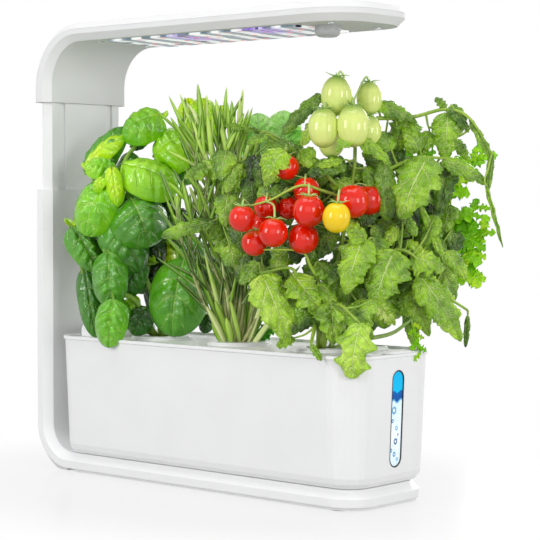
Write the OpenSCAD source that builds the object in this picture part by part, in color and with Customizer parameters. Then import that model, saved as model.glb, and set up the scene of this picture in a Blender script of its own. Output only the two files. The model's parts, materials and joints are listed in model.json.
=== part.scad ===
/* Countertop hydroponic garden: a C-shaped stand whose lamp slides up its column,
   and a removable water tank whose deck holds three planted pods.
   Millimetres, +Z up, +X from the column to the free end, -Y the front.
   The origin is the centre of the stand's plan, on the surface it stands on. */

/* [Stand] */
// Length of the stand, from the column's outer face to the free end
base_l = 300; // [280:1:330]
// Width of the stand, column and arm, front to back
frame_w = 82; // [76:1:90]
// Thickness of the column and of the arm
frame_t = 16.3; // [15:0.1:19]
// Width of the bevel along the stand's long edges
frame_bevel = 5.4; // [4:0.1:6]
// Wall of the stand's mouldings
frame_wall = 2.2; // [1.8:0.1:2.8]
// Inner radius of the bend between base and column
bend_r = 20; // [14:0.5:26]
// Corner radius of the base's free end, in plan
base_end_r = 22; // [16:0.5:30]
// Height of the column's top, where the collar sits
column_h = 173.6; // [150:0.2:190]
// Height of the guide collar
collar_h = 28.8; // [20:0.2:36]
// Thickness of the plate that closes the base
plate_t = 1.7; // [1.4:0.1:2.2]
// Distance of that plate inside the base's sides
plate_inset = 1.5; // [1:0.1:2.5]
// Height of the feet under the plate
foot_h = 0.8; // [0.6:0.1:1.4]
// Diameter of a foot
foot_d = 14; // [10:0.5:16]

/* [Telescoping slider] */
// Space on each side of the slider inside the column
slider_side = 1.6; // [1.2:0.1:3]
// Thickness of the slider
slider_t = 10.1; // [9.6:0.1:10.6]
// Bevel on the slider's edges
slider_bevel = 4; // [3:0.1:4.4]
// Wall of the slider
slider_wall = 2.8; // [2.4:0.1:3]
// Width of the two grooves in the slider's face
groove_w = 6; // [4:0.2:8]
// Depth of those grooves
groove_depth = 1.6; // [1:0.1:1.8]
// Distance of each groove from the middle of the slider
groove_y = 23.6; // [18:0.2:26]
// Length of slider that shows between collar and arm
slider_show = 63.2; // [40:0.2:80]
// Travel of the lamp above this height
lift_up = 60; // [40:1:70]
// Gap between the slider and its guides
slide_gap = 0.3; // [0.2:0.05:0.5]
// Height of the shoe on the slider's lower end
shoe_h = 12; // [8:0.5:18]

/* [Lamp] */
// Reach of the lamp from the column's outer face
lamp_l = 291.8; // [280:0.2:320]
// Thickness of the lamp head
head_t = 12.7; // [12:0.1:15]
// Bevel along the lamp's long edges
lamp_bevel = 4.8; // [4:0.1:5.4]
// Inner radius of the bend between arm and head
arm_r = 29.5; // [22:0.5:36]
// Corner radius of the head's free end, in plan
head_end_r = 32; // [26:0.5:40]
// Wall of the lamp's mouldings
lamp_wall = 2; // [1.6:0.1:2.4]
// Length of the light's clear cover
lens_l = 174; // [160:1:180]
// Width of that cover
lens_w = 60; // [56:0.5:62]
// Depth of the cover below the lamp's underside
lens_drop = 1.3; // [1:0.1:2]
// Centre of the cover, from the column's outer face
lens_x = 153; // [150:0.5:156]
// Number of rows of light emitters along the lamp
led_rows = 16; // [12:1:18]
// Number of emitters across each row
led_cols = 5; // [3:1:6]
// Diameter of a push button
button_d = 11; // [9:0.2:13]
// Travel of a push button
button_travel = 1; // [0.6:0.1:1.4]
// Distance between the two push buttons
button_gap = 20; // [16:0.5:26]

/* [Tank] */
// Length of the tank over its rim
tank_l = 275; // [262:0.5:278]
// Width of the tank over its rim
tank_w = 91.5; // [86:0.5:98]
// Height of the tank
tank_h = 84.8; // [78:0.2:96]
// Inward lean of each wall from rim to foot
tank_draft = 4.2; // [2:0.1:5]
// Corner radius of the rim at the free end
tank_r = 25; // [22:0.5:32]
// Corner radius of the rim at the column end
tank_r_back = 15; // [13:0.5:20]
// Radius between the tank's walls and its floor
tank_round = 7.5; // [5:0.5:9]
// Wall of the tank
tank_wall = 2.2; // [1.8:0.1:2.8]
// Gap between the column and the tank's rim
tank_gap = 13.1; // [8:0.1:18]
// Overhang of the rim's lip
lip = 1; // [0.6:0.1:1.6]
// Height of the rim's lip
lip_h = 2.2; // [1.6:0.1:3]
// Width of the water window
slot_w = 12.5; // [10:0.5:14]
// Height of the water window
slot_h = 62.5; // [50:0.5:66]
// Height of the window's lower end above the tank's foot
slot_z = 11.8; // [10:0.2:16]
// Depth of the water above the tank's foot
water_h = 58; // [40:1:62]

/* [Deck and pods] */
// Thickness of the deck
deck_t = 2.4; // [2:0.1:3]
// Depth of the deck's surface below the rim
deck_drop = 1.6; // [1:0.1:3]
// Gap between the deck and the tank
deck_gap = 0.4; // [0.3:0.1:0.8]
// Distance between two pods
pod_pitch = 74; // [64:0.5:76]
// Diameter of a pod's hole in the deck
pod_d = 38; // [34:0.5:42]
// Depth of a pod's basket
pod_h = 50; // [40:0.5:58]
// Wall of a basket
basket_wall = 1.4; // [1.2:0.1:1.8]
// Number of slots round a basket
basket_slots = 8; // [6:2:10]
// Width of the fill port, front to back
port_w = 22; // [16:0.5:26]
// Length of the fill port
port_l = 13; // [10:0.5:15]
// Diameter of the flap's hinge pin
pin_d = 2; // [1.6:0.1:2.4]

/* [Pump] */
// Width of the pump's hump on the deck
hump_w = 46; // [42:0.5:50]
// Height of that hump above the rim
hump_h = 7; // [5:0.2:9]
// Diameter of the pump's housing
pump_d = 26; // [22:0.5:28]
// Diameter of the impeller
impeller_d = 16; // [13:0.5:18]
// Diameter of the impeller's shaft
shaft_d = 2; // [1.6:0.1:2.4]

/* [Plants] */
// Height of the tallest plant above the deck
plant_h = 180; // [150:1:183]
// Size of the leaves against full size
leaf_size = 1; // [0.8:0.05:1.1]
// Diameter of a ripe cherry tomato
tomato_d = 20.5; // [17:0.5:21.5]
// Diameter of an unripe plum tomato
plum_d = 18; // [16:0.5:19]
// Length of an unripe plum tomato
plum_l = 23; // [20:0.5:25]

/* [Hidden] */
$fn = 48;
root2 = sqrt(2);
// Share of an inward offset that a 45 degree bevel loses
bevel_k = 2 - root2;
half_w = frame_w / 2;
x0 = -base_l / 2;
white = [0.93, 0.93, 0.93];
steel = [0.72, 0.73, 0.75];
black = [0.08, 0.08, 0.09];
green_pcb = [0.1, 0.4, 0.2];

// Stand
shell_z = foot_h + plate_t;
seat_h = shell_z + frame_t - frame_bevel;
bar_z = shell_z - frame_bevel;
bend_outer_r = bend_r + frame_t;
bend_z = bar_z + bend_outer_r;
skin_r = bend_outer_r - frame_wall;
plate_gap = 0.3;
plate_x = x0 + bend_outer_r + plate_gap - sqrt(pow(skin_r, 2) - pow(bend_z - foot_h, 2));
base_end = x0 + base_l;
screw_r = 1.4;
screw_gap = 0.1;
screw_head_r = 2.6;
screw_head_h = 0.7;
screw_l = 6;
boss_r = 3.2;
boss_x = [plate_x + 24, 0, base_end - 22];
boss_y = half_w - frame_wall - boss_r - 2;
foot_x = [plate_x + foot_d + 4, 0, base_end - foot_d - 6];
foot_y = half_w - plate_inset - foot_d / 2 - 3;
inlet_z = bend_z + 14;
inlet_r = 4;
plug_r = 2.8;
plug_depth = 9;
board_t = 1.6;
driver_inset = 26;
driver_x = x0 + bend_outer_r + driver_inset;
driver_l = 70;
driver_w = 30;
driver_z = shell_z + 1.6;
driver_post = 2;
lead_t = 0.6;
lead_w = 12;
lead_depth = 7;
lead_y = -14;
fold_z = bend_z + 20;
folds = 14;

// Telescoping joint
spigot_h = 6;
collar_top = column_h + collar_h;
arm_z = collar_top + slider_show;
slider_x = (frame_t - slider_t) / 2;
shoe_top = column_h - spigot_h - lift_up;
slider_z = shoe_top - shoe_h;
fit_gap = 0.1;
slider_w = frame_w - 2 * (frame_wall + slider_side);
slider_hollow = slider_w - 2 * (slider_bevel + slider_wall * (root2 - 1));

// Lamp
arm_outer_r = arm_r + frame_t - 0.8;
arm_drop = 10;
arm_len = arm_drop + arm_outer_r;
lamp_h = arm_z + arm_len;
head_x = frame_t + arm_r;
join_x = (head_x + arm_outer_r) / 2;
head_wall = lamp_wall + 0.2;
cover_band = 0.6;
cover_t = lamp_bevel;
top_bevel = cover_t - cover_band;
under_z = lamp_h - head_t;
floor_z = under_z + lamp_wall;
lens_x0 = x0 + lens_x - lens_l / 2;
lens_x1 = lens_x0 + lens_l;
lens_z = under_z - lens_drop;
lens_gap = 0.2;
lens_corner = 5;
lens_flange = 1.5;
lens_flange_t = 1.2;
led_size = [4.6, 3.4, 1];
board_z = floor_z + lens_flange_t + led_size[2] + 1.1;
board_w = frame_w - 2 * lamp_bevel - 1;
board_x0 = lens_x0 - 3;
board_x1 = lens_x1 + 3;
post_r = 1.5;
post_y = board_w / 2 - post_r;
spreader_t = 1.5;
sensor_d = 17;
sensor_drop = 7.5;
sensor_round = 4;
sensor_x = lens_x1 + 3.5 + sensor_d / 2;
sensor_y = -10;
control_x = x0 + lamp_l - 27;
control_l = 34;
control_w = 30;
control_z = floor_z + 1.4;
switch_h = 2;
switch_w = 6;
button_x = [control_x, control_x];
button_y = [-button_gap / 2, button_gap / 2];
button_proud = button_travel + 0.2;
button_side_gap = 0.2;
button_flange = 1;
button_flange_t = 0.9;
stem_r = 1.5;
lamp_screw_x = [x0 + head_x + 0.4 * (lens_x0 - x0 - head_x), lens_x1 + 26];
lamp_screw_y = 24;

// Tank
tank_x = x0 + frame_t + tank_gap;
tank_end = tank_x + tank_l;
rim_z = seat_h + tank_h;
rim_wall = 1;
lean = atan((tank_draft - lip) / (tank_h - tank_round));
deck_z = rim_z - deck_drop;
deck_under = deck_z - deck_t;
recess = lip + rim_wall;
gasket_t = 0.8;
gasket_gap = 0.05;
glass_t = 1.4;
glass_recess = 0.5;
water_gap = 0.4;
hull_fn = 32;
slice_t = 0.01;

// Pods
pod_x = [for (i = [-1:1]) tank_x + tank_l / 2 - 1 + i * pod_pitch];
basket_r = pod_d / 2 - 0.3;
basket_foot_r = basket_r * 0.72;
basket_rib_h = 6;
slot_share = 0.45;
flange_r = pod_d / 2 + 3;
flange_t = 1.2;
sponge_gap = 0.3;
sponge_h = 30;
cap_t = 1;
cap_hole_r = 11;

// Fill port and flap
port_x1 = tank_end - recess - deck_gap - 4.5;
port_x0 = port_x1 - port_l;
flap_t = 1.4;
flap_lift = 0.2;
flap_margin = 2;
flap_w = port_w + 2 * flap_margin;
knuckle_r = pin_d / 2 + 1.1;
pin_gap = 0.05;
hinge_x = port_x0 - flap_margin - knuckle_r;
hinge_z = deck_z + knuckle_r + flap_lift;
ear_t = 2.5;
ear_gap = 0.2;
tab_w = flap_w;
tab_over = 1.4;

// Pump
hump_l = 30;
hump_x = tank_x + recess + deck_gap + 0.8;
hump_wall = 1.6;
hump_round = (hump_h + deck_drop) / 2 - 0.3;
pump_x = hump_x + pump_d / 2 + 6.4;
pump_h = 26;
pump_z = seat_h + tank_wall + 5;
pump_wall = 1.6;
chamber_h = 8;
impeller_h = 5;
hub_r = shaft_d / 2 + 2;
vane_foot = shaft_d / 2 + 1;
blades = 5;
vane_t = 1.2;
riser_r = 4;
spout_r = 2.5;
jack_r = 2;
jack_z = deck_z + jack_r + 1.5;

// ------------------------------------------------------------ shared shapes

// Section across the stand or arm: depth below the outer face, then Y
function octagon(d0, d1, w, b) = [
    [d0, b - w / 2], [d0 + b, -w / 2], [d1 - b, -w / 2], [d1, b - w / 2],
    [d1, w / 2 - b], [d1 - b, w / 2], [d0 + b, w / 2], [d0, w / 2 - b]];

// Bevel of an octagon drawn in or out by g
function inner_bevel(b, g) = b - g * bevel_k;

// The slider's outline, grown by g on every side
function slider_outline(g) = octagon(slider_x - g, slider_x + slider_t + g,
    slider_w + 2 * g, inner_bevel(slider_bevel, -g));

// Inside of the column, drawn in by g
function column_inside(g) = octagon(frame_wall + g, frame_t - frame_wall - g,
    frame_w - 2 * (frame_wall + g), inner_bevel(frame_bevel, frame_wall + g));

// Carries a section down an upright, round a bend of radius r and out along +X
module sweep(r, up, out) {
    translate([0, 0, r]) linear_extrude(up - r) children();
    translate([r, 0, r]) rotate([90, 0, 0]) rotate(180)
        rotate_extrude(angle = 90, $fn = 96) translate([r, 0]) mirror([1, 0]) children();
    if (out > r)
        translate([r, 0, 0]) rotate([0, 90, 0]) mirror([1, 0, 0]) linear_extrude(out - r) children();
}

// A bar along X with rounded corners at x1 and a bevel round its upper edge
module bar_end(a, b, w, z0, z1, bevel, r) {
    side = w / 2 - r;
    translate([a, 0, 0]) rotate([90, 0, 90]) linear_extrude(b - r - a)
        polygon([[-w / 2, z0], [w / 2, z0], [w / 2, z1 - bevel], [w / 2 - bevel, z1],
                 [bevel - w / 2, z1], [-w / 2, z1 - bevel]]);
    translate([0, side, 0]) rotate([90, 0, 0]) linear_extrude(2 * side)
        polygon([[b - r, z0], [b, z0], [b, z1 - bevel], [b - bevel, z1], [b - r, z1]]);
    for (s = [0, 1]) mirror([0, s, 0]) translate([b - r, side, 0])
        rotate_extrude(angle = 90, $fn = 96)
            polygon([[0, z0], [r, z0], [r, z1 - bevel], [r - bevel, z1], [0, z1]]);
}

// A block with upright rounded corners
module round_block(a, b, w, r, z0, z1) {
    translate([a + r, -w / 2, z0]) cube([b - a - 2 * r, w, z1 - z0]);
    translate([a, r - w / 2, z0]) cube([b - a, w - 2 * r, z1 - z0]);
    for (x = [a + r, b - r], y = [r - w / 2, w / 2 - r])
        translate([x, y, z0]) cylinder(r = r, h = z1 - z0);
}

module screw(l) {
    cylinder(r = screw_head_r, h = screw_head_h);
    cylinder(r = screw_r, h = l);
}

module stand_sweep(up, out) translate([x0, 0, bar_z]) sweep(bend_outer_r, up - bar_z, out) children();

// The lamp is drawn from its top face downwards
module from_top() translate([x0, 0, lamp_h]) mirror([0, 0, 1]) children();

// ------------------------------------------------------------ stand

module lower_frame() color(white) {
    k = frame_wall * (root2 - 1);
    difference() {
        union() {
            stand_sweep(column_h, bend_outer_r + 1) polygon([
                [frame_bevel, -half_w], [frame_t - frame_bevel, -half_w],
                [frame_t, frame_bevel - half_w], [frame_t, half_w - frame_bevel],
                [frame_t - frame_bevel, half_w], [frame_bevel, half_w],
                [frame_bevel, half_w - frame_wall],
                [frame_t - frame_bevel - k, half_w - frame_wall],
                [frame_t - frame_wall, half_w - frame_bevel - k],
                [frame_t - frame_wall, frame_bevel + k - half_w],
                [frame_t - frame_bevel - k, frame_wall - half_w],
                [frame_bevel, frame_wall - half_w]]);
            difference() {
                bar_end(x0 + bend_outer_r, base_end, frame_w, shell_z, seat_h, frame_bevel, base_end_r);
                bar_end(x0 + bend_outer_r - 1, base_end - frame_wall, frame_w - 2 * frame_wall,
                    shell_z - 1, seat_h - frame_wall, inner_bevel(frame_bevel, frame_wall),
                    base_end_r - frame_wall);
            }
            for (x = boss_x, s = [-1, 1]) translate([x, s * boss_y, shell_z])
                cylinder(r = boss_r, h = frame_t - frame_bevel - frame_wall / 2);
        }
        for (x = boss_x, s = [-1, 1]) translate([x, s * boss_y, shell_z - 1])
            cylinder(r = screw_r + screw_gap, h = screw_l);
    }
}

module rear_cover() color(white) {
    k = frame_wall * (root2 - 1);
    difference() {
        stand_sweep(column_h, 0) polygon([
            [0, frame_bevel - half_w], [0, half_w - frame_bevel], [frame_bevel, half_w],
            [frame_bevel, half_w - frame_wall * root2], [frame_wall, half_w - frame_bevel - k],
            [frame_wall, frame_bevel + k - half_w], [frame_bevel, frame_wall * root2 - half_w],
            [frame_bevel, -half_w]]);
        translate([x0 - 1, -half_w - 1, bar_z - 1])
            cube([bend_outer_r + 2, frame_w + 2, foot_h - bar_z + 1]);
        translate([x0 - 1, 0, inlet_z]) rotate([0, 90, 0])
            cylinder(r = inlet_r + fit_gap, h = frame_wall + 2);
    }
}

module base_plate() color(white)
difference() {
    union() {
        difference() {
            round_block(plate_x, base_end - plate_inset, frame_w - 2 * plate_inset,
                base_end_r - plate_inset, foot_h, shell_z);
            translate([plate_x - 1, -half_w, foot_h - 1])
                cube([1, frame_w, plate_t + 2]);
        }
        for (x = [driver_x + 4, driver_x + driver_l - 4], s = [-1, 1])
            translate([x, s * (driver_w / 2 - 4), shell_z - 0.5])
                cylinder(r = driver_post, h = driver_z - shell_z + 0.5);
    }
    for (x = boss_x, s = [-1, 1]) translate([x, s * boss_y, foot_h]) {
        translate([0, 0, -1]) cylinder(r = screw_head_r + screw_gap, h = 1 + screw_head_h + screw_gap);
        cylinder(r = screw_r + screw_gap, h = plate_t + 1);
    }
}

module plate_screws() color(steel)
for (x = boss_x, s = [-1, 1]) translate([x, s * boss_y, foot_h]) screw(screw_l);

module feet() color(black) {
    for (x = [foot_x[0], foot_x[2]], s = [-1, 1]) translate([x, s * foot_y, 0])
        cylinder(d = foot_d, h = foot_h);
    translate([foot_x[1], 0, 0]) cylinder(d = foot_d, h = foot_h);
}

module guide_collar() color(white)
difference() {
    union() {
        translate([x0, 0, column_h]) linear_extrude(collar_h)
            polygon(octagon(0, frame_t, frame_w, frame_bevel));
        translate([x0, 0, column_h - spigot_h]) linear_extrude(spigot_h + 1)
            polygon(column_inside(fit_gap));
    }
    translate([x0, 0, column_h - spigot_h - 1]) linear_extrude(collar_h + spigot_h + 2)
        polygon(slider_outline(slide_gap));
}

module dc_inlet() color(black)
translate([x0, 0, inlet_z]) rotate([0, 90, 0]) {
    difference() {
        union() {
            translate([0, 0, -0.8]) cylinder(r = inlet_r + 1.2, h = 0.8);
            translate([0, 0, -0.4]) cylinder(r = inlet_r, h = plug_depth + 2);
        }
        translate([0, 0, -1]) cylinder(r = plug_r, h = plug_depth + 1);
    }
    cylinder(r = 1, h = plug_depth + 1);
}

module driver_board() color(green_pcb)
translate([driver_x, -driver_w / 2, driver_z]) cube([driver_l, driver_w, board_t]);

module driver_parts() color(black)
translate([driver_x, 0, driver_z + board_t]) {
    translate([8, -10, 0]) cube([12, 12, 4]);
    translate([28, -4, 0]) cube([8, 10, 2]);
    for (i = [0:2]) translate([46 + 7 * i, 0, 0]) cylinder(d = 5, h = 4.4);
}

module base_lead() color(steel)
translate([0, lead_y, 0]) stand_sweep(fold_z, driver_x - x0)
    polygon([[lead_depth, -lead_w / 2], [lead_depth + lead_t, -lead_w / 2],
             [lead_depth + lead_t, lead_w / 2], [lead_depth, lead_w / 2]]);

// Flat lead folded to and fro below the slider, so that it can follow it
module folded_lead() color(steel) {
    near = frame_wall + 1.4;
    far = frame_t - frame_wall - 1.4;
    step = (slider_z - fold_z) / folds;
    translate([x0, lead_y + lead_w / 2, 0]) rotate([90, 0, 0]) linear_extrude(lead_w)
        for (i = [0:folds - 1]) {
            a = i % 2 == 0 ? near : far;
            b = near + far - a;
            z = fold_z + i * step;
            polygon([[a, z], [b, z + step - lead_t], [b, z + step], [a, z + lead_t]]);
        }
}

// ------------------------------------------------------------ lamp

module slider() color(white)
difference() {
    translate([x0, 0, slider_z]) linear_extrude(arm_z + arm_drop - slider_z)
        polygon(slider_outline(0));
    translate([x0 + slider_x + slider_wall, -slider_hollow / 2, slider_z - 1])
        cube([slider_t - 2 * slider_wall, slider_hollow, arm_z + arm_drop - slider_z + 2]);
    for (s = [-1, 1])
        translate([x0 + slider_x + slider_t - groove_depth, s * groove_y - groove_w / 2, slider_z - 1])
            cube([groove_depth + 1, groove_w, arm_z + arm_drop - slider_z + 2]);
}

module guide_shoe() color(steel)
translate([x0, 0, slider_z]) linear_extrude(shoe_h) difference() {
    polygon(column_inside(slide_gap));
    polygon(slider_outline(0));
}

module slider_socket() color(white)
translate([x0, 0, arm_z]) linear_extrude(arm_drop) difference() {
    polygon(octagon(lamp_wall + fit_gap, frame_t - lamp_wall - fit_gap,
        frame_w - 2 * (lamp_wall + fit_gap), lamp_bevel));
    polygon(slider_outline(0));
}

// Space inside the lamp's bend, drawn back from it by g
module arm_hollow(g, up) {
    k = g * (root2 - 1);
    far = half_w + 1;
    translate([frame_t, 0, head_t]) sweep(arm_r, up - head_t, arm_r + 2) polygon([
        [arm_r, -far], [arm_r, far], [-(g + lamp_bevel + k + 1), far],
        [-g, half_w - lamp_bevel - k], [-g, lamp_bevel + k - half_w],
        [-(g + lamp_bevel + k + 1), -far]]);
}

module arm_core(margin, w) {
    deep = frame_t + 3 + margin;
    sweep(arm_outer_r, arm_len + margin, head_x + margin) polygon([
        [cover_t - margin, -w / 2], [deep, -w / 2], [deep, w / 2], [cover_t - margin, w / 2]]);
}

module arm_shell() color(white)
difference() {
    union() {
        from_top() difference() {
            arm_core(0, frame_w);
            arm_hollow(0, arm_len + 1);
            difference() {
                arm_core(1, frame_w - 2 * lamp_wall);
                arm_hollow(lamp_wall, arm_len + 2);
            }
        }
        from_top() difference() {
            bar_end(head_x, lamp_l, frame_w, cover_t, head_t, lamp_bevel, head_end_r);
            bar_end(head_x, lamp_l - lamp_wall, frame_w - 2 * head_wall, cover_t - 1,
                head_t - lamp_wall, inner_bevel(lamp_bevel, lamp_wall) + lamp_wall - head_wall,
                head_end_r - lamp_wall);
        }
        for (x = [board_x0 + 8, (board_x0 + board_x1) / 2, board_x1 - 8], s = [-1, 1])
            translate([x, s * post_y, under_z + 1]) cylinder(r = post_r, h = board_z - under_z - 1);
        for (x = [control_x - 8, control_x + 8], s = [-1, 1])
            translate([x, s * 9, under_z + 1]) cylinder(r = post_r, h = control_z - under_z - 1);
    }
    round_block(lens_x0 - lens_gap, lens_x1 + lens_gap, lens_w + 2 * lens_gap,
        lens_corner + lens_gap, under_z - 1, floor_z + 1);
    for (x = lamp_screw_x, s = [-1, 1]) translate([x, s * lamp_screw_y, under_z - 1])
        cylinder(r = screw_r + screw_gap, h = lamp_wall + 2);
}

module arm_cover() color(white)
difference() {
    union() {
        from_top() sweep(arm_outer_r, arm_len, head_x) polygon(cover_section());
        translate([x0, 0, lamp_h - cover_t]) difference() {
            bar_end(head_x, lamp_l, frame_w, 0, cover_t, top_bevel, head_end_r);
            bar_end(join_x, lamp_l - lamp_wall, frame_w - 2 * lamp_wall, -1, cover_t - lamp_wall,
                inner_bevel(top_bevel, lamp_wall), head_end_r - lamp_wall);
        }
        for (x = lamp_screw_x, s = [-1, 1]) translate([x, s * lamp_screw_y, floor_z + fit_gap])
            cylinder(r = boss_r, h = head_t - lamp_wall * 1.5 - fit_gap);
    }
    for (i = [0, 1]) translate([button_x[i], button_y[i], lamp_h - cover_t])
        cylinder(d = button_d + 2 * button_side_gap, h = cover_t + 1);
    for (x = lamp_screw_x, s = [-1, 1]) translate([x, s * lamp_screw_y, floor_z])
        cylinder(r = screw_r + screw_gap, h = screw_l);
}

function cover_section() = let (
    k = lamp_wall * (root2 - 1),
    lip_y = half_w - top_bevel - lamp_wall * root2 + cover_t,
    edge = half_w - top_bevel)
    [[0, -edge], [0, edge], [top_bevel, half_w], [cover_t, half_w], [cover_t, lip_y],
     [lamp_wall, edge - k], [lamp_wall, k - edge], [cover_t, -lip_y], [cover_t, -half_w],
     [top_bevel, -half_w]];

module lamp_screws() color(steel)
for (x = lamp_screw_x, s = [-1, 1]) translate([x, s * lamp_screw_y, under_z - screw_head_h])
    screw(screw_l + screw_head_h);

module light_cover() color([0.85, 0.9, 0.95, 0.5]) {
    round_block(lens_x0, lens_x1, lens_w, lens_corner, lens_z, floor_z + fit_gap);
    round_block(lens_x0 - lens_flange, lens_x1 + lens_flange, lens_w + 2 * lens_flange,
        lens_corner + lens_flange, floor_z + fit_gap, floor_z + lens_flange_t);
}

module led_board() color(white)
translate([board_x0, -board_w / 2, board_z]) cube([board_x1 - board_x0, board_w, board_t]);

module heat_spreader() color(steel)
translate([board_x0, 6 - board_w / 2, board_z + board_t])
    cube([board_x1 - board_x0, board_w - 12, spreader_t]);

// Colour of the emitter in row r and column c: 0 white, 1 red, 2 blue
function led_kind(r, c) =
    let (q = r / (led_rows - 1), zone = abs(q - 0.27) < 0.05 || abs(q - 0.7) < 0.08)
    zone ? (c % 2 == 0 ? 2 : 1) : ((r + 2 * c) % 5 == 0 ? 1 : 0);

module leds(kind) {
    row_step = (lens_l - 16) / (led_rows - 1);
    col_step = (lens_w - 12) / max(led_cols - 1, 1);
    for (r = [0:led_rows - 1], c = [0:led_cols - 1])
        if (led_kind(r, c) == kind)
            translate([lens_x0 + 8 + r * row_step - led_size[0] / 2,
                       6 - lens_w / 2 + c * col_step - led_size[1] / 2, board_z - led_size[2]])
                cube(led_size);
}

module leds_white() color("white") leds(0);
module leds_red() color("red") leds(1);
module leds_blue() color("blue") leds(2);

module sensor_dome() color([0.6, 0.6, 0.62])
translate([sensor_x, sensor_y, under_z]) mirror([0, 0, 1]) {
    cylinder(d = sensor_d, h = sensor_drop - sensor_round);
    rotate_extrude() intersection() {
        translate([0, sensor_drop - sensor_round]) square([sensor_d / 2, sensor_round]);
        union() {
            translate([sensor_d / 2 - sensor_round, sensor_drop - sensor_round]) circle(r = sensor_round);
            translate([0, sensor_drop - sensor_round])
                square([sensor_d / 2 - sensor_round, sensor_round]);
        }
    }
}

// Board with its two push switches soldered on
module control_board() color(green_pcb) {
    translate([control_x - control_l / 2, -control_w / 2, control_z])
        cube([control_l, control_w, board_t]);
    for (i = [0, 1])
        translate([button_x[i] - switch_w / 2, button_y[i] - switch_w / 2, control_z + board_t / 2])
            cube([switch_w, switch_w, switch_h + board_t / 2]);
}

module button(i) {
    cover_in = lamp_h - lamp_wall;
    stem_z = control_z + board_t + switch_h + button_travel + fit_gap;
    translate([button_x[i], button_y[i], 0]) {
        translate([0, 0, cover_in - button_flange_t])
            cylinder(d = button_d, h = lamp_wall + button_flange_t + button_proud);
        translate([0, 0, cover_in - button_flange_t - fit_gap])
            cylinder(d = button_d + 2 * button_flange, h = button_flange_t);
        translate([0, 0, stem_z]) cylinder(r = stem_r, h = cover_in - stem_z - fit_gap);
    }
}

module power_button() color([0.75, 0.78, 0.8]) button(0);
module mode_button() color([0.75, 0.78, 0.8]) button(1);

module lamp_lead() color(steel)
translate([0, lead_y, 0]) from_top() sweep(arm_outer_r, lamp_h - slider_z, board_x0 - x0 - fit_gap)
    polygon([[lead_depth, -lead_w / 2], [lead_depth + lead_t, -lead_w / 2],
             [lead_depth + lead_t, lead_w / 2], [lead_depth, lead_w / 2]]);

// ------------------------------------------------------------ tank

// Thin slice of the tank's plan, drawn in by g from the rim's outline
module tank_slice(z, g) {
    w = tank_w / 2;
    for (s = [-1, 1]) {
        translate([tank_x + tank_r_back, s * (w - tank_r_back), z])
            cylinder(r = tank_r_back - g, h = slice_t, $fn = hull_fn);
        translate([tank_end - tank_r, s * (w - tank_r), z])
            cylinder(r = tank_r - g, h = slice_t, $fn = hull_fn);
    }
}

// The tank's body, drawn in by g and cut off at height top
module tank_body(g, top) {
    share = (top - tank_round) / (tank_h - tank_round);
    hull() {
        for (a = [0:30:90])
            tank_slice(seat_h + g + (tank_round - g / 2) * (1 - cos(a)),
                tank_draft + g + (tank_round - g / 2) * (1 - sin(a)));
        tank_slice(seat_h + top - slice_t, tank_draft + g - (tank_draft - lip) * share);
    }
}

// Upright block on the rim's outline, drawn in by g
module rim_block(g, z0, z1) {
    w = tank_w / 2 - g;
    a = tank_x + g;
    b = tank_end - g;
    ra = tank_r_back - g;
    rb = tank_r - g;
    translate([a, ra - w, z0]) cube([b - a - rb, 2 * (w - ra), z1 - z0]);
    translate([a + ra, -w, z0]) cube([b - a - ra - rb, 2 * w, z1 - z0]);
    translate([b - rb, rb - w, z0]) cube([rb, 2 * (w - rb), z1 - z0]);
    for (s = [-1, 1]) {
        translate([a + ra, s * (w - ra), z0]) cylinder(r = ra, h = z1 - z0);
        translate([b - rb, s * (w - rb), z0]) cylinder(r = rb, h = z1 - z0);
    }
}

// Prism on the window's outline, square to the leaning wall, grown by g;
// a is its inner and b its outer end, from the wall's outer face
module window_prism(g, a, b) {
    r = slot_w / 2;
    translate([tank_end - tank_draft, 0, seat_h + tank_round]) rotate([0, lean, 0])
    translate([a, 0, slot_z - tank_round]) {
        for (z = [r, slot_h - r]) translate([0, 0, z]) rotate([0, 90, 0]) cylinder(r = r + g, h = b - a);
        translate([0, -r - g, r]) cube([b - a, 2 * (r + g), slot_h - 2 * r]);
    }
}

module tank() color(white)
difference() {
    union() {
        tank_body(0, tank_h - lip_h / 2);
        rim_block(0, rim_z - lip_h, rim_z);
    }
    tank_body(tank_wall, tank_h - lip_h / 2);
    rim_block(lip + tank_wall, rim_z - 2 * lip_h, rim_z + 1);
    rim_block(recess, deck_under, rim_z + 1);
    window_prism(gasket_gap, -tank_wall * 3, tank_wall * 3);
}

module window_gasket() color(black)
difference() {
    window_prism(0, -tank_wall, 0);
    window_prism(-gasket_t, -tank_wall - 1, 1);
}

module window_glass() color([0.7, 0.9, 1, 0.4])
window_prism(-gasket_t - gasket_gap, -glass_recess - glass_t, -glass_recess);

module water() color([0.6, 0.85, 1, 0.5])
difference() {
    tank_body(tank_wall + water_gap, water_h);
    for (x = pod_x) translate([x, 0, deck_z - pod_h - water_gap])
        cylinder(r = basket_r + water_gap, h = pod_h);
    translate([pump_x, 0, pump_z - 2]) cylinder(d = pump_d + 2 * water_gap + 2, h = water_h);
    translate([pump_x, -spout_r - 1, pump_z - 2]) cube([pump_d / 2 + 8, 2 * spout_r + 2, water_h]);
}

// ------------------------------------------------------------ deck

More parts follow.
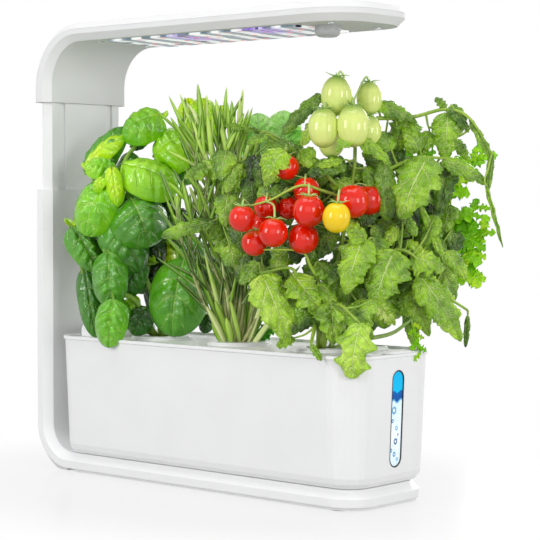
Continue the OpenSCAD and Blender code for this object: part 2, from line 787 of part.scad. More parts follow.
module deck() color(white)
difference() {
    union() {
        rim_block(recess + deck_gap, deck_under, deck_z);
        for (s = [-1, 1]) hinge_ear(s);
    }
    for (x = pod_x) translate([x, 0, deck_under - 1]) cylinder(d = pod_d, h = deck_t + 2);
    translate([port_x0, -port_w / 2, deck_under - 1]) cube([port_l, port_w, deck_t + 2]);
    translate([pump_x, 0, deck_under - 1]) cylinder(r = riser_r + 1 + fit_gap, h = deck_t + 2);
    for (s = [-1, 1]) translate([hinge_x, s * (flap_w / 2 + ear_gap + ear_t / 2), hinge_z])
        rotate([90, 0, 0]) cylinder(d = pin_d, h = ear_t + 1, center = true);
}

module hinge_ear(s) {
    y = s * (flap_w / 2 + ear_gap + ear_t / 2);
    translate([hinge_x, y, hinge_z]) rotate([90, 0, 0]) cylinder(r = knuckle_r, h = ear_t, center = true);
    translate([hinge_x - knuckle_r, y - ear_t / 2, deck_z - 0.5])
        cube([2 * knuckle_r, ear_t, hinge_z - deck_z + 0.5]);
}

module flap_pin() color(steel)
translate([hinge_x, 0, hinge_z]) rotate([90, 0, 0])
    cylinder(d = pin_d, h = flap_w + 2 * (ear_gap + ear_t), center = true);

module fill_flap() color(white)
difference() {
    union() {
        translate([hinge_x, 0, hinge_z]) rotate([90, 0, 0])
            cylinder(r = knuckle_r, h = flap_w, center = true);
        translate([hinge_x, -flap_w / 2, deck_z + flap_lift])
            cube([port_x1 + flap_margin - hinge_x, flap_w, flap_t]);
        intersection() {
            translate([port_x1 - 1, -flap_w / 2, deck_z + flap_lift])
                cube([tank_end + tab_over - port_x1 + 1, flap_w, rim_z - deck_z + flap_t]);
            translate([port_x1 + flap_margin / 2, 0, 0])
                round_block(-flap_w, tank_end + tab_over - port_x1 - flap_margin / 2, tab_w, 6,
                    rim_z + flap_lift, rim_z + flap_lift + flap_t);
        }
        translate([port_x1 - 0.5, -flap_w / 2, deck_z + flap_lift])
            cube([flap_margin + 0.5, flap_w, rim_z - deck_z + flap_t]);
    }
    translate([hinge_x, 0, hinge_z]) rotate([90, 0, 0])
        cylinder(r = pin_d / 2 + pin_gap, h = flap_w + 2, center = true);
}

// Open-sided basket that hangs in the deck by its flange
module basket(i) translate([pod_x[i], 0, 0])
difference() {
    union() {
        translate([0, 0, deck_z]) cylinder(r = flange_r, h = flange_t);
        translate([0, 0, deck_z - pod_h]) cylinder(r1 = basket_foot_r, r2 = basket_r, h = pod_h);
    }
    translate([0, 0, deck_z - pod_h + basket_wall])
        cylinder(r1 = basket_foot_r - basket_wall, r2 = basket_r - basket_wall, h = pod_h);
    translate([0, 0, deck_z - 0.01]) cylinder(r = basket_r - basket_wall, h = flange_t + 1);
    slot = [2 * pod_d, basket_foot_r * slot_share, (pod_h - basket_rib_h) / 2 - basket_rib_h];
    for (k = [0:basket_slots / 2 - 1], row = [0, 1]) rotate(k * 360 / basket_slots)
        translate([-pod_d, -slot[1] / 2, deck_z - pod_h + basket_rib_h + row * (slot[2] + basket_rib_h)])
            cube(slot);
    translate([0, 0, deck_z - pod_h - 1]) cylinder(r = basket_foot_r / 3, h = basket_wall + 2);
}

module pod_basket_1() color(white) basket(0);
module pod_basket_2() color(white) basket(1);
module pod_basket_3() color(white) basket(2);

// Growing sponge, a plug that fills the upper part of a basket
module sponge(i) {
    top = deck_z + flange_t;
    lean_r = (basket_r - basket_foot_r) / pod_h;
    r_top = basket_r - basket_wall - sponge_gap;
    translate([pod_x[i], 0, top - sponge_h])
        cylinder(r1 = r_top - lean_r * sponge_h, r2 = r_top, h = sponge_h);
}

module sponge_1() color([0.35, 0.25, 0.18]) sponge(0);
module sponge_2() color([0.35, 0.25, 0.18]) sponge(1);
module sponge_3() color([0.35, 0.25, 0.18]) sponge(2);

// Round cap that keeps light off the sponge, with a hole for the stems
module pod_cap(i) translate([pod_x[i], 0, deck_z + flange_t]) difference() {
    cylinder(r = flange_r - 1, h = cap_t);
    translate([0, 0, -1]) cylinder(r = cap_hole_r, h = cap_t + 2);
}

module pod_cap_1() color(white) pod_cap(0);
module pod_cap_2() color(white) pod_cap(1);
module pod_cap_3() color(white) pod_cap(2);

// ------------------------------------------------------------ pump

module hump(g) {
    w = hump_w - 2 * g;
    top = rim_z + hump_h - g;
    r = hump_round - g / 2;
    translate([hump_x + g, 0, 0]) {
        translate([0, -w / 2, deck_z - g]) cube([hump_l - 2 * g, w, top - r - deck_z + g]);
        translate([0, r - w / 2, deck_z - g]) cube([hump_l - 2 * g, w - 2 * r, top - deck_z + g]);
        for (s = [-1, 1]) translate([0, s * (w / 2 - r), top - r]) rotate([0, 90, 0])
            cylinder(r = r, h = hump_l - 2 * g);
    }
}

module pump_cover() color(white)
difference() {
    hump(0);
    hump(hump_wall);
    translate([hump_x - 1, hump_w / 4, jack_z]) rotate([0, 90, 0])
        cylinder(r = jack_r + fit_gap, h = hump_wall + 2);
}

module pump_jack() color(black)
translate([hump_x - 0.4, hump_w / 4, jack_z]) rotate([0, 90, 0]) difference() {
    cylinder(r = jack_r, h = 7);
    translate([0, 0, -1]) cylinder(r = jack_r - 1, h = 6);
}

module pump_riser() color(white)
translate([pump_x, 0, pump_z + pump_h]) difference() {
    union() {
        cylinder(r = riser_r, h = deck_z + 2.5 - pump_z - pump_h);
        translate([0, 0, deck_z - pump_z - pump_h]) cylinder(r = riser_r + 2.5, h = 1.6);
    }
    translate([0, 0, -1]) cylinder(r = riser_r - 1.2, h = deck_z);
}

module pump_body() color([0.3, 0.32, 0.35])
translate([pump_x, 0, pump_z]) difference() {
    union() {
        cylinder(d = pump_d, h = pump_h);
        translate([0, 0, chamber_h / 2]) rotate([0, 90, 0]) cylinder(r = spout_r, h = pump_d / 2 + 6);
    }
    translate([0, 0, -1]) cylinder(d = pump_d - 2 * pump_wall, h = chamber_h + 1);
    translate([0, 0, chamber_h + pump_wall])
        cylinder(d = pump_d - 2 * pump_wall, h = pump_h - chamber_h - 2 * pump_wall);
    translate([pump_d / 2 - pump_wall - 1, 0, chamber_h / 2]) rotate([0, 90, 0])
        cylinder(r = spout_r - 1, h = 20);
}

module pump_motor() color([0.7, 0.45, 0.25])
translate([pump_x, 0, pump_z + chamber_h + pump_wall])
    cylinder(d = pump_d - 2 * pump_wall - 1, h = pump_h - chamber_h - 2 * pump_wall - 1);

module pump_shaft() color(steel)
translate([pump_x, 0, pump_z]) cylinder(d = shaft_d, h = chamber_h);

module pump_intake() color([0.3, 0.32, 0.35])
translate([pump_x, 0, pump_z - 2]) difference() {
    cylinder(d = pump_d, h = 2);
    for (a = [0:60:300]) rotate(a) translate([4, -1, -1]) cube([5, 2, 4]);
}

module impeller() color([0.2, 0.35, 0.6])
translate([pump_x, 0, pump_z + (chamber_h - impeller_h) / 2]) difference() {
    union() {
        cylinder(r = hub_r, h = impeller_h);
        cylinder(d = impeller_d, h = 1);
        for (i = [0:blades - 1]) rotate(i * 360 / blades) translate([vane_foot, -vane_t / 2, 0.5])
            cube([impeller_d / 2 - vane_foot - 0.3, vane_t, impeller_h - 1]);
    }
    translate([0, 0, -1]) cylinder(r = shaft_d / 2 + pin_gap, h = impeller_h + 2);
}

// ------------------------------------------------------------ plants
// Points are millimetres from the middle of the plant's pod, on the deck

// Where light falls on the leaves: their faces turn this way
facing = [0.42, -0.52, 0.6];
grow = plant_h / 180;
blade_t = 1.8;
stem_t = 2;
twig_t = 1;
calyx_gap = 0.3;
smooth_leaf = [[0.2, 0.78], [0.5, 1], [0.82, 0.62]];
pointed_leaf = [[0.14, 0.8], [0.4, 1], [0.78, 0.5]];
frilled_leaf = [[0.3, 0.5], [0.65, 1], [0.9, 0.9]];
needle_leaf = [[0.15, 1], [0.5, 1], [0.85, 0.7]];

// Basil leaves: foot, tip and width
basil_leaves = [
    [[-7, 7, 160], [-27, -13, 145], 22], [[-52, -26, 117], [-30, -10, 150], 18],
    [[-48, -30, 121], [-28, -14, 145], 12], [[-21, -24, 121], [-34, -41, 122], 15],
    [[-17, -23, 124], [17, -3, 108], 26], [[-9, 0, 130], [16, 19, 144], 27],
    [[-9, 8, 134], [3, 16, 115], 17], [[-24, -31, 114], [-30, -47, 76], 27],
    [[-17, -30, 118], [-12, -32, 95], 10], [[-8, -23, 100], [7, -20, 68], 34],
    [[-15, -21, 103], [8, -4, 103], 11], [[-8, 12, 101], [0, 16, 70], 17],
    [[-24, -29, 87], [-3, -19, 51], 25], [[-50, -41, 80], [-33, -32, 50], 18],
    [[-17, -36, 63], [-12, -39, 25], 21], [[-43, -35, 50], [-33, -34, 3], 14],
    [[-4, -44, 30], [-2, -51, -2], 19], [[-10, -11, 56], [-17, -20, 32], 16],
    [[22, 0, 58], [22, -13, 6], 35], [[16, 12, 73], [23, 9, 54], 17],
    [[-6, -10, 23], [-10, -19, 4], 16], [[23, 23, 17], [21, 21, 4], 9],
    [[-16, -11, 31], [-22, -19, 9], 11], [[-7, 4, 68], [-12, 0, 53], 9],
    [[7, 28, 143], [10, 33, 171], 19], [[-30, -2, 137], [-19, 7, 146], 10]];
// Basil stems
basil_stems = [
    [[0, 0, 1], [-4, -4, 27], [-11, -10, 54], [-18, -13, 95], [-21, -18, 122], [-19, -3, 141],
     [-9, 8, 157]],
    [[3, -3, 1], [8, 2, 28], [13, 3, 55], [2, 10, 77], [-6, 11, 101], [-10, 7, 128], [7, 28, 143]],
    [[-4, -2, 1], [-12, -16, 28], [-12, -37, 35], [-22, -35, 63], [-30, -31, 88], [-44, -28, 120]],
    [[-3, 3, 1], [-21, -21, 13], [-39, -31, 27], [-45, -37, 54], [-51, -39, 80]]];
// Tomato leaves
tomato_leaves = [
    [[66, 26, 127], [56, 9, 87], 28], [[40, 14, 125], [43, 14, 85], 14],
    [[31, 19, 162], [53, 33, 150], 12], [[44, 36, 152], [38, 28, 131], 21],
    [[65, 49, 156], [65, 46, 124], 19], [[67, 48, 125], [63, 42, 90], 14],
    [[63, 50, 159], [58, 45, 166], 7], [[67, 50, 161], [78, 55, 143], 9],
    [[78, 55, 152], [91, 63, 125], 6], [[90, 63, 130], [89, 60, 104], 5],
    [[88, 58, 112], [98, 65, 68], 3], [[66, 42, 126], [90, 60, 110], 13],
    [[58, 19, 62], [76, 32, 55], 20], [[54, 7, 67], [47, -7, 30], 27],
    [[40, -8, 75], [35, -20, 39], 22], [[42, -8, 73], [32, -17, 85], 13],
    [[62, 23, 51], [87, 36, 9], 22], [[86, 43, 25], [85, 42, 4], 4], [[53, 25, 40], [65, 31, 11], 14],
    [[46, 27, 38], [54, 31, 3], 10], [[-15, -43, 51], [2, -35, 6], 24],
    [[2, -32, 51], [18, -24, 26], 21], [[58, -34, 23], [59, -44, -11], 23],
    [[34, -31, 31], [58, -19, 21], 16], [[28, -26, 34], [34, -29, 8], 19],
    [[1, -29, 10], [-7, -38, 5], 8], [[33, -51, 9], [40, -49, -1], 5],
    [[-22, -14, 133], [-33, -26, 122], 14], [[-20, -15, 124], [-29, -26, 108], 14],
    [[2, -4, 168], [-21, -18, 142], 12], [[-1, -9, 133], [-8, -18, 120], 10],
    [[38, -12, 144], [30, -24, 130], 11], [[32, -1, 138], [49, 11, 122], 10],
    [[9, -16, 121], [22, -7, 125], 8], [[15, 23, 75], [2, 7, 33], 26],
    [[33, 45, 82], [51, 52, 33], 30], [[17, 10, 58], [18, 2, 13], 26],
    [[34, 21, 39], [37, 19, 15], 26], [[-22, 2, 112], [-39, -16, 95], 23],
    [[-5, 14, 119], [-10, 7, 72], 30], [[11, 25, 115], [18, 29, 72], 30],
    [[-67, -18, 123], [-87, -41, 115], 18], [[-70, -29, 85], [-93, -57, 75], 13],
    [[-72, -19, 84], [-63, -19, 57], 22], [[-59, -5, 123], [-66, -17, 103], 16],
    [[-58, 6, 145], [-75, -14, 150], 6]];
// Tomato stems and branches
tomato_stems = [
    [[0, 0, 1], [6, 0, 33], [10, 6, 66], [17, 7, 99], [22, 6, 125], [23, 4, 152], [24, 2, 163]],
    [[23, 4, 152], [30, 16, 152], [46, 35, 153], [64, 48, 158], [78, 55, 152], [90, 63, 129]],
    [[17, 7, 99], [39, 16, 117], [57, 26, 126], [68, 43, 126]],
    [[6, 0, 33], [36, 7, 59], [54, 13, 67], [62, 23, 59], [67, 29, 44], [86, 43, 28]],
    [[8, 2, 46], [29, -7, 60], [42, -9, 75]],
    [[0, -4, 1], [6, -13, 22], [3, -26, 44], [0, -32, 55], [-15, -43, 52]],
    [[4, -4, 1], [23, -20, 21], [37, -29, 33], [57, -35, 24]],
    [[17, 7, 99], [6, -8, 118], [-11, -10, 131], [-21, -16, 138], [-54, 1, 144], [-56, -8, 126],
     [-65, -21, 121], [-67, -26, 89]],
    [[23, 4, 152], [8, 2, 160], [1, -2, 168]],
    [[6, -13, 22], [27, -43, 11], [34, -52, 9]]];
// Stalks that carry the fruit
trusses = [
    [[17, 7, 99], [15, -19, 105], [6, -30, 108], [-11, -39, 99], [-21, -48, 95]],
    [[17, 7, 99], [31, -8, 108], [30, -19, 101]],
    [[6, 0, 33], [10, -23, 55], [7, -31, 66], [-13, -46, 67]],
    [[23, 4, 152], [27, -3, 160], [21, -8, 158]]];
// Middles and relative sizes of the ripe, the yellow and the unripe fruit
red_fruit = [
    [19, -37, 92, 1.0], [37, -15, 98, 1.05], [-2, -47, 78, 0.92], [-18, -59, 87, 0.84],
    [-19, -46, 71, 0.82], [8, -29, 74, 0.96], [30, 11, 99, 0.96], [-9, -26, 120, 0.8],
    [-19, -35, 94, 0.75], [-11, -21, 94, 0.75], [4, -21, 105, 0.84], [-29, -27, 83, 0.75]];
yellow_fruit = [41, -36, 88, 0.86];
green_fruit = [
    [18, -8, 166, 1], [18, -21, 145, 1], [9, -2, 138, 0.9], [35, -12, 146, 1.05], [28, 12, 143, 0.9],
    [27, 15, 165, 0.85]];
// Sage leaves, in the middle pod behind the rosemary
sage_leaves = [
    [[-12, 37, 122], [-16, 37, 160], 24], [[-3, 48, 123], [-3, 50, 162], 24],
    [[-17, 30, 134], [-23, 25, 150], 14], [[4, 9, 0], [14, 23, 15], 10]];
// Sage stems
sage_stems = [
    [[2, 7, 1], [-4, 15, 29], [-5, 30, 78], [-11, 41, 123]],
    [[6, 6, 1], [-2, 33, 71], [-4, 50, 123]]];
// Frilled lettuce leaves, in the end pod behind the tomatoes
lettuce_leaves = [
    [[35, 65, 57], [63, 95, 79], 13], [[35, 65, 72], [60, 92, 95], 13],
    [[36, 63, 53], [61, 91, 67], 15], [[37, 62, 48], [60, 87, 52], 15],
    [[33, 66, 92], [61, 96, 131], 16], [[27, 61, 101], [32, 68, 139], 13],
    [[24, 48, 35], [47, 73, 84], 29], [[23, 58, 72], [40, 75, 112], 20],
    [[57, 21, 22], [66, 19, 1], 7]];
// Lettuce ribs
lettuce_stems = [
    [[2, 6, 1], [1, 30, 32], [18, 56, 57], [33, 66, 72], [32, 68, 93], [26, 63, 101]],
    [[6, 4, 1], [22, 12, 7], [42, 19, 12], [55, 20, 20]]];
// Rosemary sprigs
rosemary_stems = [
    [[-7, -2, 1], [-8, -15, 31], [-22, -25, 65], [-19, -22, 119], [-35, -31, 169]],
    [[-5, -4, 1], [-3, -13, 37], [-12, -21, 71], [-13, -19, 119], [-29, -28, 170]],
    [[-3, -5, 1], [0, -11, 37], [-9, -16, 78], [-12, -14, 122], [-22, -17, 177]],
    [[-1, -3, 1], [2, -7, 37], [-6, -11, 78], [-12, -10, 122], [-11, -1, 176]],
    [[1, -5, 1], [6, -5, 37], [-1, -6, 78], [-4, -6, 122], [-5, -2, 167]],
    [[3, -4, 1], [7, -2, 37], [2, -1, 78], [-3, 0, 123], [-1, 7, 174]],
    [[4, -2, 1], [8, 2, 37], [13, 9, 71], [9, 13, 99], [-2, 9, 158]],
    [[5, 0, 1], [12, 5, 31], [21, 10, 57], [24, 15, 71]],
    [[6, -3, 1], [17, 4, 24], [27, 10, 41]],
    [[-7, 1, 1], [-10, -20, 24], [-19, -27, 51], [-26, -31, 75], [-30, -34, 109]]];

module at_pod(i) translate([pod_x[i], 0, deck_z]) children();

function grown(p) = [p[0], p[1], p[2] * grow];

// Three-sided blade with a raised midrib, from foot a to tip b
module blade(a, b, w, form) {
    d = b - a;
    side = cross(d, facing) / norm(cross(d, facing));
    up = cross(side, d) / norm(cross(side, d));
    rings = [for (f = form) let (m = a + f[0] * d + up * w * 0.5 * f[0] * (1 - f[0]), h = w / 2 * f[1])
        [m + side * h - up * h / 4, m + up * blade_t / 2, m - side * h - up * h / 4, m - up * blade_t / 2]];
    points = concat([a], rings[0], rings[1], rings[2], [b]);
    start = [for (j = [0:3]) [0, 1 + (j + 1) % 4, 1 + j]];
    strip = [for (r = [0, 1], j = [0:3]) let (p = 1 + 4 * r + j, q = 1 + 4 * r + (j + 1) % 4)
        each [[p, q, q + 4], [p, q + 4, p + 4]]];
    end = [for (j = [0:3]) [13, 9 + j, 9 + (j + 1) % 4]];
    polyhedron(points, concat(start, strip, end));
}

module stalk(a, b, r1, r2) {
    d = b - a;
    translate(a) rotate([0, acos(d[2] / norm(d)), atan2(d[1], d[0])])
        cylinder(r1 = r1, r2 = r2, h = norm(d), $fn = 6);
}

// A stem through a row of points, thinner towards its end
module stem(line, r) {
    n = len(line) - 1;
    for (i = [0:n - 1]) {
        ra = r * (1 - 0.5 * i / n);
        rb = r * (1 - 0.5 * (i + 1) / n);
        stalk(grown(line[i]), grown(line[i + 1]), ra, rb);
        if (i > 0) translate(grown(line[i])) sphere(r = ra * 1.05, $fn = 6);
    }
}

function joints(lines) = [for (line = lines, i = [0:len(line) - 2], t = [0:0.25:0.99])
    grown(line[i] * (1 - t) + line[i + 1] * t)];

function nearest(p, list, i = 0, best = 0) = i == len(list) ? list[best]
    : nearest(p, list, i + 1, norm(list[i] - p) < norm(list[best] - p) ? i : best);

// Stems, and leaves that each hang on the nearest of them
module plant(stems, leaves, form, r) {
    spots = joints(stems);
    for (line = stems) stem(line, r);
    for (leaf = leaves) {
        foot = grown(leaf[0]);
        blade(foot, grown(leaf[1]), leaf[2] * leaf_size, form);
        hold = nearest(foot, spots);
        if (norm(foot - hold) > 1)
            stalk(hold, foot + (foot - hold) / norm(foot - hold), twig_t, twig_t * 0.8);
    }
}

// The part of a plant above the deck's fittings
module above_deck(i) intersection() {
    at_pod(i) children();
    translate([-base_l, -base_l, deck_z + flange_t]) cube([2 * base_l, 2 * base_l, lamp_h]);
}

module fruit(p, d, l) at_pod(2) translate(grown(p)) {
    for (s = [-1, 1]) translate([0, 0, s * (l - d) / 2]) sphere(d = d, $fn = 24);
    if (l > d) translate([0, 0, (d - l) / 2]) cylinder(d = d, h = l - d, $fn = 24);
}

module fruit_stalk(p, l) {
    top = grown(p) + [0, 0, l * p[3] / 2 - 1];
    at_pod(2) stalk(top, nearest(top, joints(concat(trusses, tomato_stems))), twig_t, twig_t);
}

module ripe(g) for (p = red_fruit) fruit(p, tomato_d * p[3] + g, tomato_d * p[3] + g);
module yellow(g) let (p = yellow_fruit) fruit(p, tomato_d * p[3] + g, tomato_d * (p[3] + 0.1) + g);
module unripe(g) for (p = green_fruit) fruit(p, plum_d * p[3] + g, plum_l * p[3] + g);

module tomatoes_red() color([0.85, 0.12, 0.06]) ripe(0);
module tomato_yellow() color([0.95, 0.75, 0.1]) yellow(0);
module tomatoes_green() color([0.75, 0.82, 0.5]) unripe(0);

module tomato_foliage() {
    at_pod(2) {
        plant(tomato_stems, tomato_leaves, pointed_leaf, stem_t);
        for (line = trusses) stem(line, twig_t * 1.3);
    }
    for (p = concat(red_fruit, [yellow_fruit])) fruit_stalk(p, tomato_d);
    for (p = green_fruit) fruit_stalk(p, plum_l);
}

module basil_foliage() at_pod(0) plant(basil_stems, basil_leaves, smooth_leaf, stem_t);

module rosemary_foliage() at_pod(1) for (k = [0:len(rosemary_stems) - 1]) {
    line = rosemary_stems[k];
    stem(line, stem_t);
    spots = joints([line]);
    for (i = [3:4:len(spots) - 1], s = [-1, 1]) {
        out = [7 * s, 3 * s * (k % 2 == 0 ? 1 : -1), 15];
        blade(spots[i], spots[i] + out, 4, needle_leaf);
    }
}

module sage_foliage() at_pod(1) plant(sage_stems, sage_leaves, smooth_leaf, stem_t * 0.8);
module lettuce_foliage() at_pod(2) plant(lettuce_stems, lettuce_leaves, frilled_leaf, stem_t * 0.8);

module all_fruit(g) {
    ripe(g);
    yellow(g);
    unripe(g);
}

// Deck fittings that stems and leaves stand on or pass by
module pod_tops() for (x = pod_x) translate([x, 0, deck_under]) {
    cylinder(r = flange_r, h = deck_t + flange_t);
    difference() {
        cylinder(r = flange_r, h = deck_t + flange_t + cap_t + 0.2);
        translate([0, 0, -1]) cylinder(r = cap_hole_r - 0.2, h = deck_t + flange_t + cap_t + 2);
    }
}

module tomato_plant() color([0.25, 0.45, 0.15]) difference() {
    tomato_foliage();
    all_fruit(calyx_gap);
    pod_tops();
}

module basil_plant() color([0.3, 0.6, 0.15]) difference() {
    basil_foliage();
    pod_tops();
}

module rosemary_plant() color([0.4, 0.5, 0.3]) difference() {
    rosemary_foliage();
    pod_tops();
}

module sage_plant() color([0.5, 0.7, 0.5]) difference() {
    sage_foliage();
    pod_tops();
}

module lettuce_plant() color([0.45, 0.75, 0.2]) difference() {
    lettuce_foliage();
    pod_tops();
}

lower_frame();
rear_cover();
base_plate();
plate_screws();
feet();
guide_collar();
dc_inlet();
driver_board();
driver_parts();
base_lead();
folded_lead();
slider();
guide_shoe();
slider_socket();
arm_shell();
arm_cover();
lamp_screws();
light_cover();
led_board();
heat_spreader();
leds_white();
leds_red();
leds_blue();
sensor_dome();
control_board();
lamp_lead();
power_button();
mode_button();
tank();
window_gasket();
window_glass();
water();
deck();
flap_pin();
pod_basket_1();
pod_basket_2();
pod_basket_3();
sponge_1();
sponge_2();
sponge_3();
pod_cap_1();
pod_cap_2();
pod_cap_3();
pump_cover();
pump_jack();
pump_riser();
pump_body();
pump_motor();
pump_shaft();
pump_intake();
impeller();
fill_flap();
tomatoes_red();
tomato_yellow();
tomatoes_green();
tomato_plant();
basil_plant();
rosemary_plant();
sage_plant();
lettuce_plant();
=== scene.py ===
"""Looks of the countertop hydroponic garden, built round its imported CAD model."""
import json
import math

import bpy
import numpy as np
from mathutils import Matrix, Vector, noise


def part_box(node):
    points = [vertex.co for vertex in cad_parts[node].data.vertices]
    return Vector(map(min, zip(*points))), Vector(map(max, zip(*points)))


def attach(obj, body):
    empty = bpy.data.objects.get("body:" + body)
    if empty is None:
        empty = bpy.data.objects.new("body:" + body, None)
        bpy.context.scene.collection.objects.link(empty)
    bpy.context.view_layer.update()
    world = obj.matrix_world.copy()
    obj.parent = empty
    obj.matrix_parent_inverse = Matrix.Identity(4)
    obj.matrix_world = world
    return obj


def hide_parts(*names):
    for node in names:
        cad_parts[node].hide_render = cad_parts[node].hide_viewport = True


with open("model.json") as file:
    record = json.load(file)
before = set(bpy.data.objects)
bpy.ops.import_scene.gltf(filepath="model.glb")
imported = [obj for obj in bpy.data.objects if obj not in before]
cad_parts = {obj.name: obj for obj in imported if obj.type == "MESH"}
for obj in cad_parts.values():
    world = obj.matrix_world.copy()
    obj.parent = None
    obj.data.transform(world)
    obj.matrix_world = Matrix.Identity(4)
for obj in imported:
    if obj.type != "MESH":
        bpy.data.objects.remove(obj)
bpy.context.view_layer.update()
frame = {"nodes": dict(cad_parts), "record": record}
scene = bpy.context.scene
MM = 0.001
TURN = 2 * math.pi


def add_object(name, data):
    obj = bpy.data.objects.new(name, data)
    scene.collection.objects.link(obj)
    return obj


def add_aimed(name, data, place, target, roll=0.0):
    """Adds a camera or a light that looks from its place at a target."""
    obj = add_object(name, data)
    turn = (Vector(target) - Vector(place)).to_track_quat("-Z", "Y").to_matrix().to_4x4()
    obj.matrix_world = Matrix.Translation(place) @ turn @ Matrix.Rotation(math.radians(roll), 4, "Z")
    return obj


# ---------------------------------------------------------------- camera
# fitted to the stand's edges in the photograph
EYE = (0.82934, -0.89723, 0.19664)
TARGET = (0.04414, 0.0, 0.1482)
ROLL = 0.11

camera_data = bpy.data.cameras.new("camera")
camera_data.sensor_fit = "HORIZONTAL"
camera_data.sensor_width = 36
camera_data.lens = 118
camera_data.clip_start = 0.05
camera_data.clip_end = 50
scene.camera = add_aimed("camera", camera_data, EYE, TARGET, ROLL)
scene.view_settings.view_transform = "Standard"


# ---------------------------------------------------------------- material nodes
def operation(kind):
    """A method that adds a math node of this kind."""
    return lambda self, *others: self.nodes.math(kind, self, *others)


class Value:
    """A number that a node tree works out. It takes the usual signs."""

    def __init__(self, nodes, socket):
        self.nodes = nodes
        self.socket = socket

    __add__ = operation("ADD")
    __sub__ = operation("SUBTRACT")
    __mul__ = operation("MULTIPLY")
    __truediv__ = operation("DIVIDE")
    __pow__ = operation("POWER")
    __abs__ = operation("ABSOLUTE")
    sine = operation("SINE")
    fraction = operation("FRACT")

    def __rsub__(self, other):
        return self.nodes.math("SUBTRACT", other, self)


class Nodes:
    """A short way to write the node tree of a material or a world."""

    def __init__(self, owner, out="OutputMaterial"):
        owner.use_nodes = True
        self.owner = owner
        self.tree = owner.node_tree
        self.tree.nodes.clear()
        self.out = self.add(out)

    def put(self, socket, value):
        """Links or sets an input. A colour may come without its fourth value."""
        if isinstance(value, Value):
            value = value.socket
        if isinstance(value, bpy.types.NodeSocket):
            self.tree.links.new(value, socket)
        elif socket.type == "RGBA" and len(value) == 3:
            socket.default_value = (*value, 1)
        else:
            socket.default_value = value

    def add(self, kind, inputs=(), **props):
        node = self.tree.nodes.new("ShaderNode" + kind)
        for key, value in props.items():
            setattr(node, key, value)
        for key, value in dict(inputs).items():
            self.put(node.inputs[key], value)
        return node

    def math(self, kind, *values):
        return Value(self, self.add("Math", enumerate(values), operation=kind).outputs[0])

    def largest(self, first, *others):
        for other in others:
            first = self.math("MAXIMUM", first, other)
        return first

    def length(self, a, b):
        return self.math("SQRT", a * a + b * b)

    def step(self, value, low, high, to_low=0.0, to_high=1.0):
        """A smooth step from to_low to to_high while the value goes from low to high."""
        levels = {"From Min": low, "From Max": high, "To Min": to_low, "To Max": to_high}
        inputs = {"Value": value, **levels}
        return Value(self, self.add("MapRange", inputs, interpolation_type="SMOOTHSTEP").outputs[0])

    def mix(self, share, a, b):
        return self.add("Mix", {0: share, 6: a, 7: b}, data_type="RGBA").outputs[2]

    def ramp(self, share, stops):
        node = self.add("ValToRGB", {0: share})
        ends = node.color_ramp.elements
        while len(ends) < len(stops):
            ends.new(0.5)
        for end, (place, colour) in zip(ends, stops):
            end.position = place
            end.color = (*colour, 1)
        return node.outputs[0]

    def place(self):
        return self.add("TexCoord").outputs["Object"]

    def stretched(self, scale, place=None):
        return self.add("Mapping", {"Vector": place or self.place(), "Scale": scale}).outputs[0]

    def noise(self, scale, detail=2.0, vector=None, distort=0.0):
        inputs = {"Vector": vector or self.place(), "Scale": scale, "Detail": detail,
                  "Distortion": distort}
        return Value(self, self.add("TexNoise", inputs).outputs["Fac"])

    def cells(self, place, scale, feature="F1"):
        node = self.add("TexVoronoi", {"Vector": place, "Scale": scale}, feature=feature)
        return Value(self, node.outputs["Distance"])

    def bump(self, height, strength, distance, normal=None):
        node = self.add("Bump", {"Height": height, "Strength": strength, "Distance": distance})
        if normal is not None:
            self.put(node.inputs["Normal"], normal)
        return node.outputs[0]

    def bevel(self, radius):
        return self.add("Bevel", {"Radius": radius}, samples=6).outputs[0]

    def split(self, vector):
        return [Value(self, out) for out in self.add("SeparateXYZ", {"Vector": vector}).outputs]

    def leaf_map(self):
        """How far along a leaf a point lies, and how far across it, both from 0 to 1."""
        along, across, _ = self.split(self.add("UVMap", uv_map="leaf").outputs[0])
        return along, across

    def tone(self):
        return Value(self, self.add("Attribute", attribute_name="tone").outputs["Fac"])

    def seen(self):
        """1 for what is seen, also in a mirror or through glass, and 0 for rays that only light."""
        rays = self.add("LightPath").outputs
        kinds = ("Camera", "Glossy", "Transmission")
        return self.largest(*(rays["Is %s Ray" % kind] for kind in kinds))

    def either(self, share, a, b):
        """Shader a or b by the share, as the tree's result."""
        both = self.add("MixShader", {0: share, 1: a.outputs[0], 2: b.outputs[0]})
        self.tree.links.new(both.outputs[0], self.out.inputs[0])

    def shade(self, **sockets):
        node = self.add("BsdfPrincipled", {key.replace("_", " "): v for key, v in sockets.items()})
        self.tree.links.new(node.outputs[0], self.out.inputs[0])
        return self.owner


def material(name):
    return Nodes(bpy.data.materials.new(name))


def srgb(r, g, b):
    """A colour written as 0-255 values, in the renderer's linear terms."""
    return tuple((v / 255 / 12.92) if v <= 10 else ((v / 255 + 0.055) / 1.055) ** 2.4 for v in (r, g, b))


def stops(*rows):
    """A ramp's stops, each written as its place and a 0-255 colour."""
    return [(place, srgb(*colour)) for place, *colour in rows]


def moulding(name, colour, rough, radius=0.0006, grain=0.25, spread=0.012, level=0.5):
    """Moulded plastic: a fine spark-eroded grain, slight cloudiness, softened edges."""
    n = material(name)
    low = tuple(c * (1 - spread) for c in colour)
    high = tuple(min(1, c * (1 + spread)) for c in colour)
    shade = n.ramp(n.noise(26, 3), [(0.35, low), (0.65, high)])
    gloss = n.step(n.noise(60), 0.3, 0.7, rough - 0.04, rough + 0.05)
    return n.shade(Base_Color=shade, Roughness=gloss, IOR=1.49, Specular_IOR_Level=level,
                   Normal=n.bump(n.noise(1500), grain, 0.00006, n.bevel(radius)))


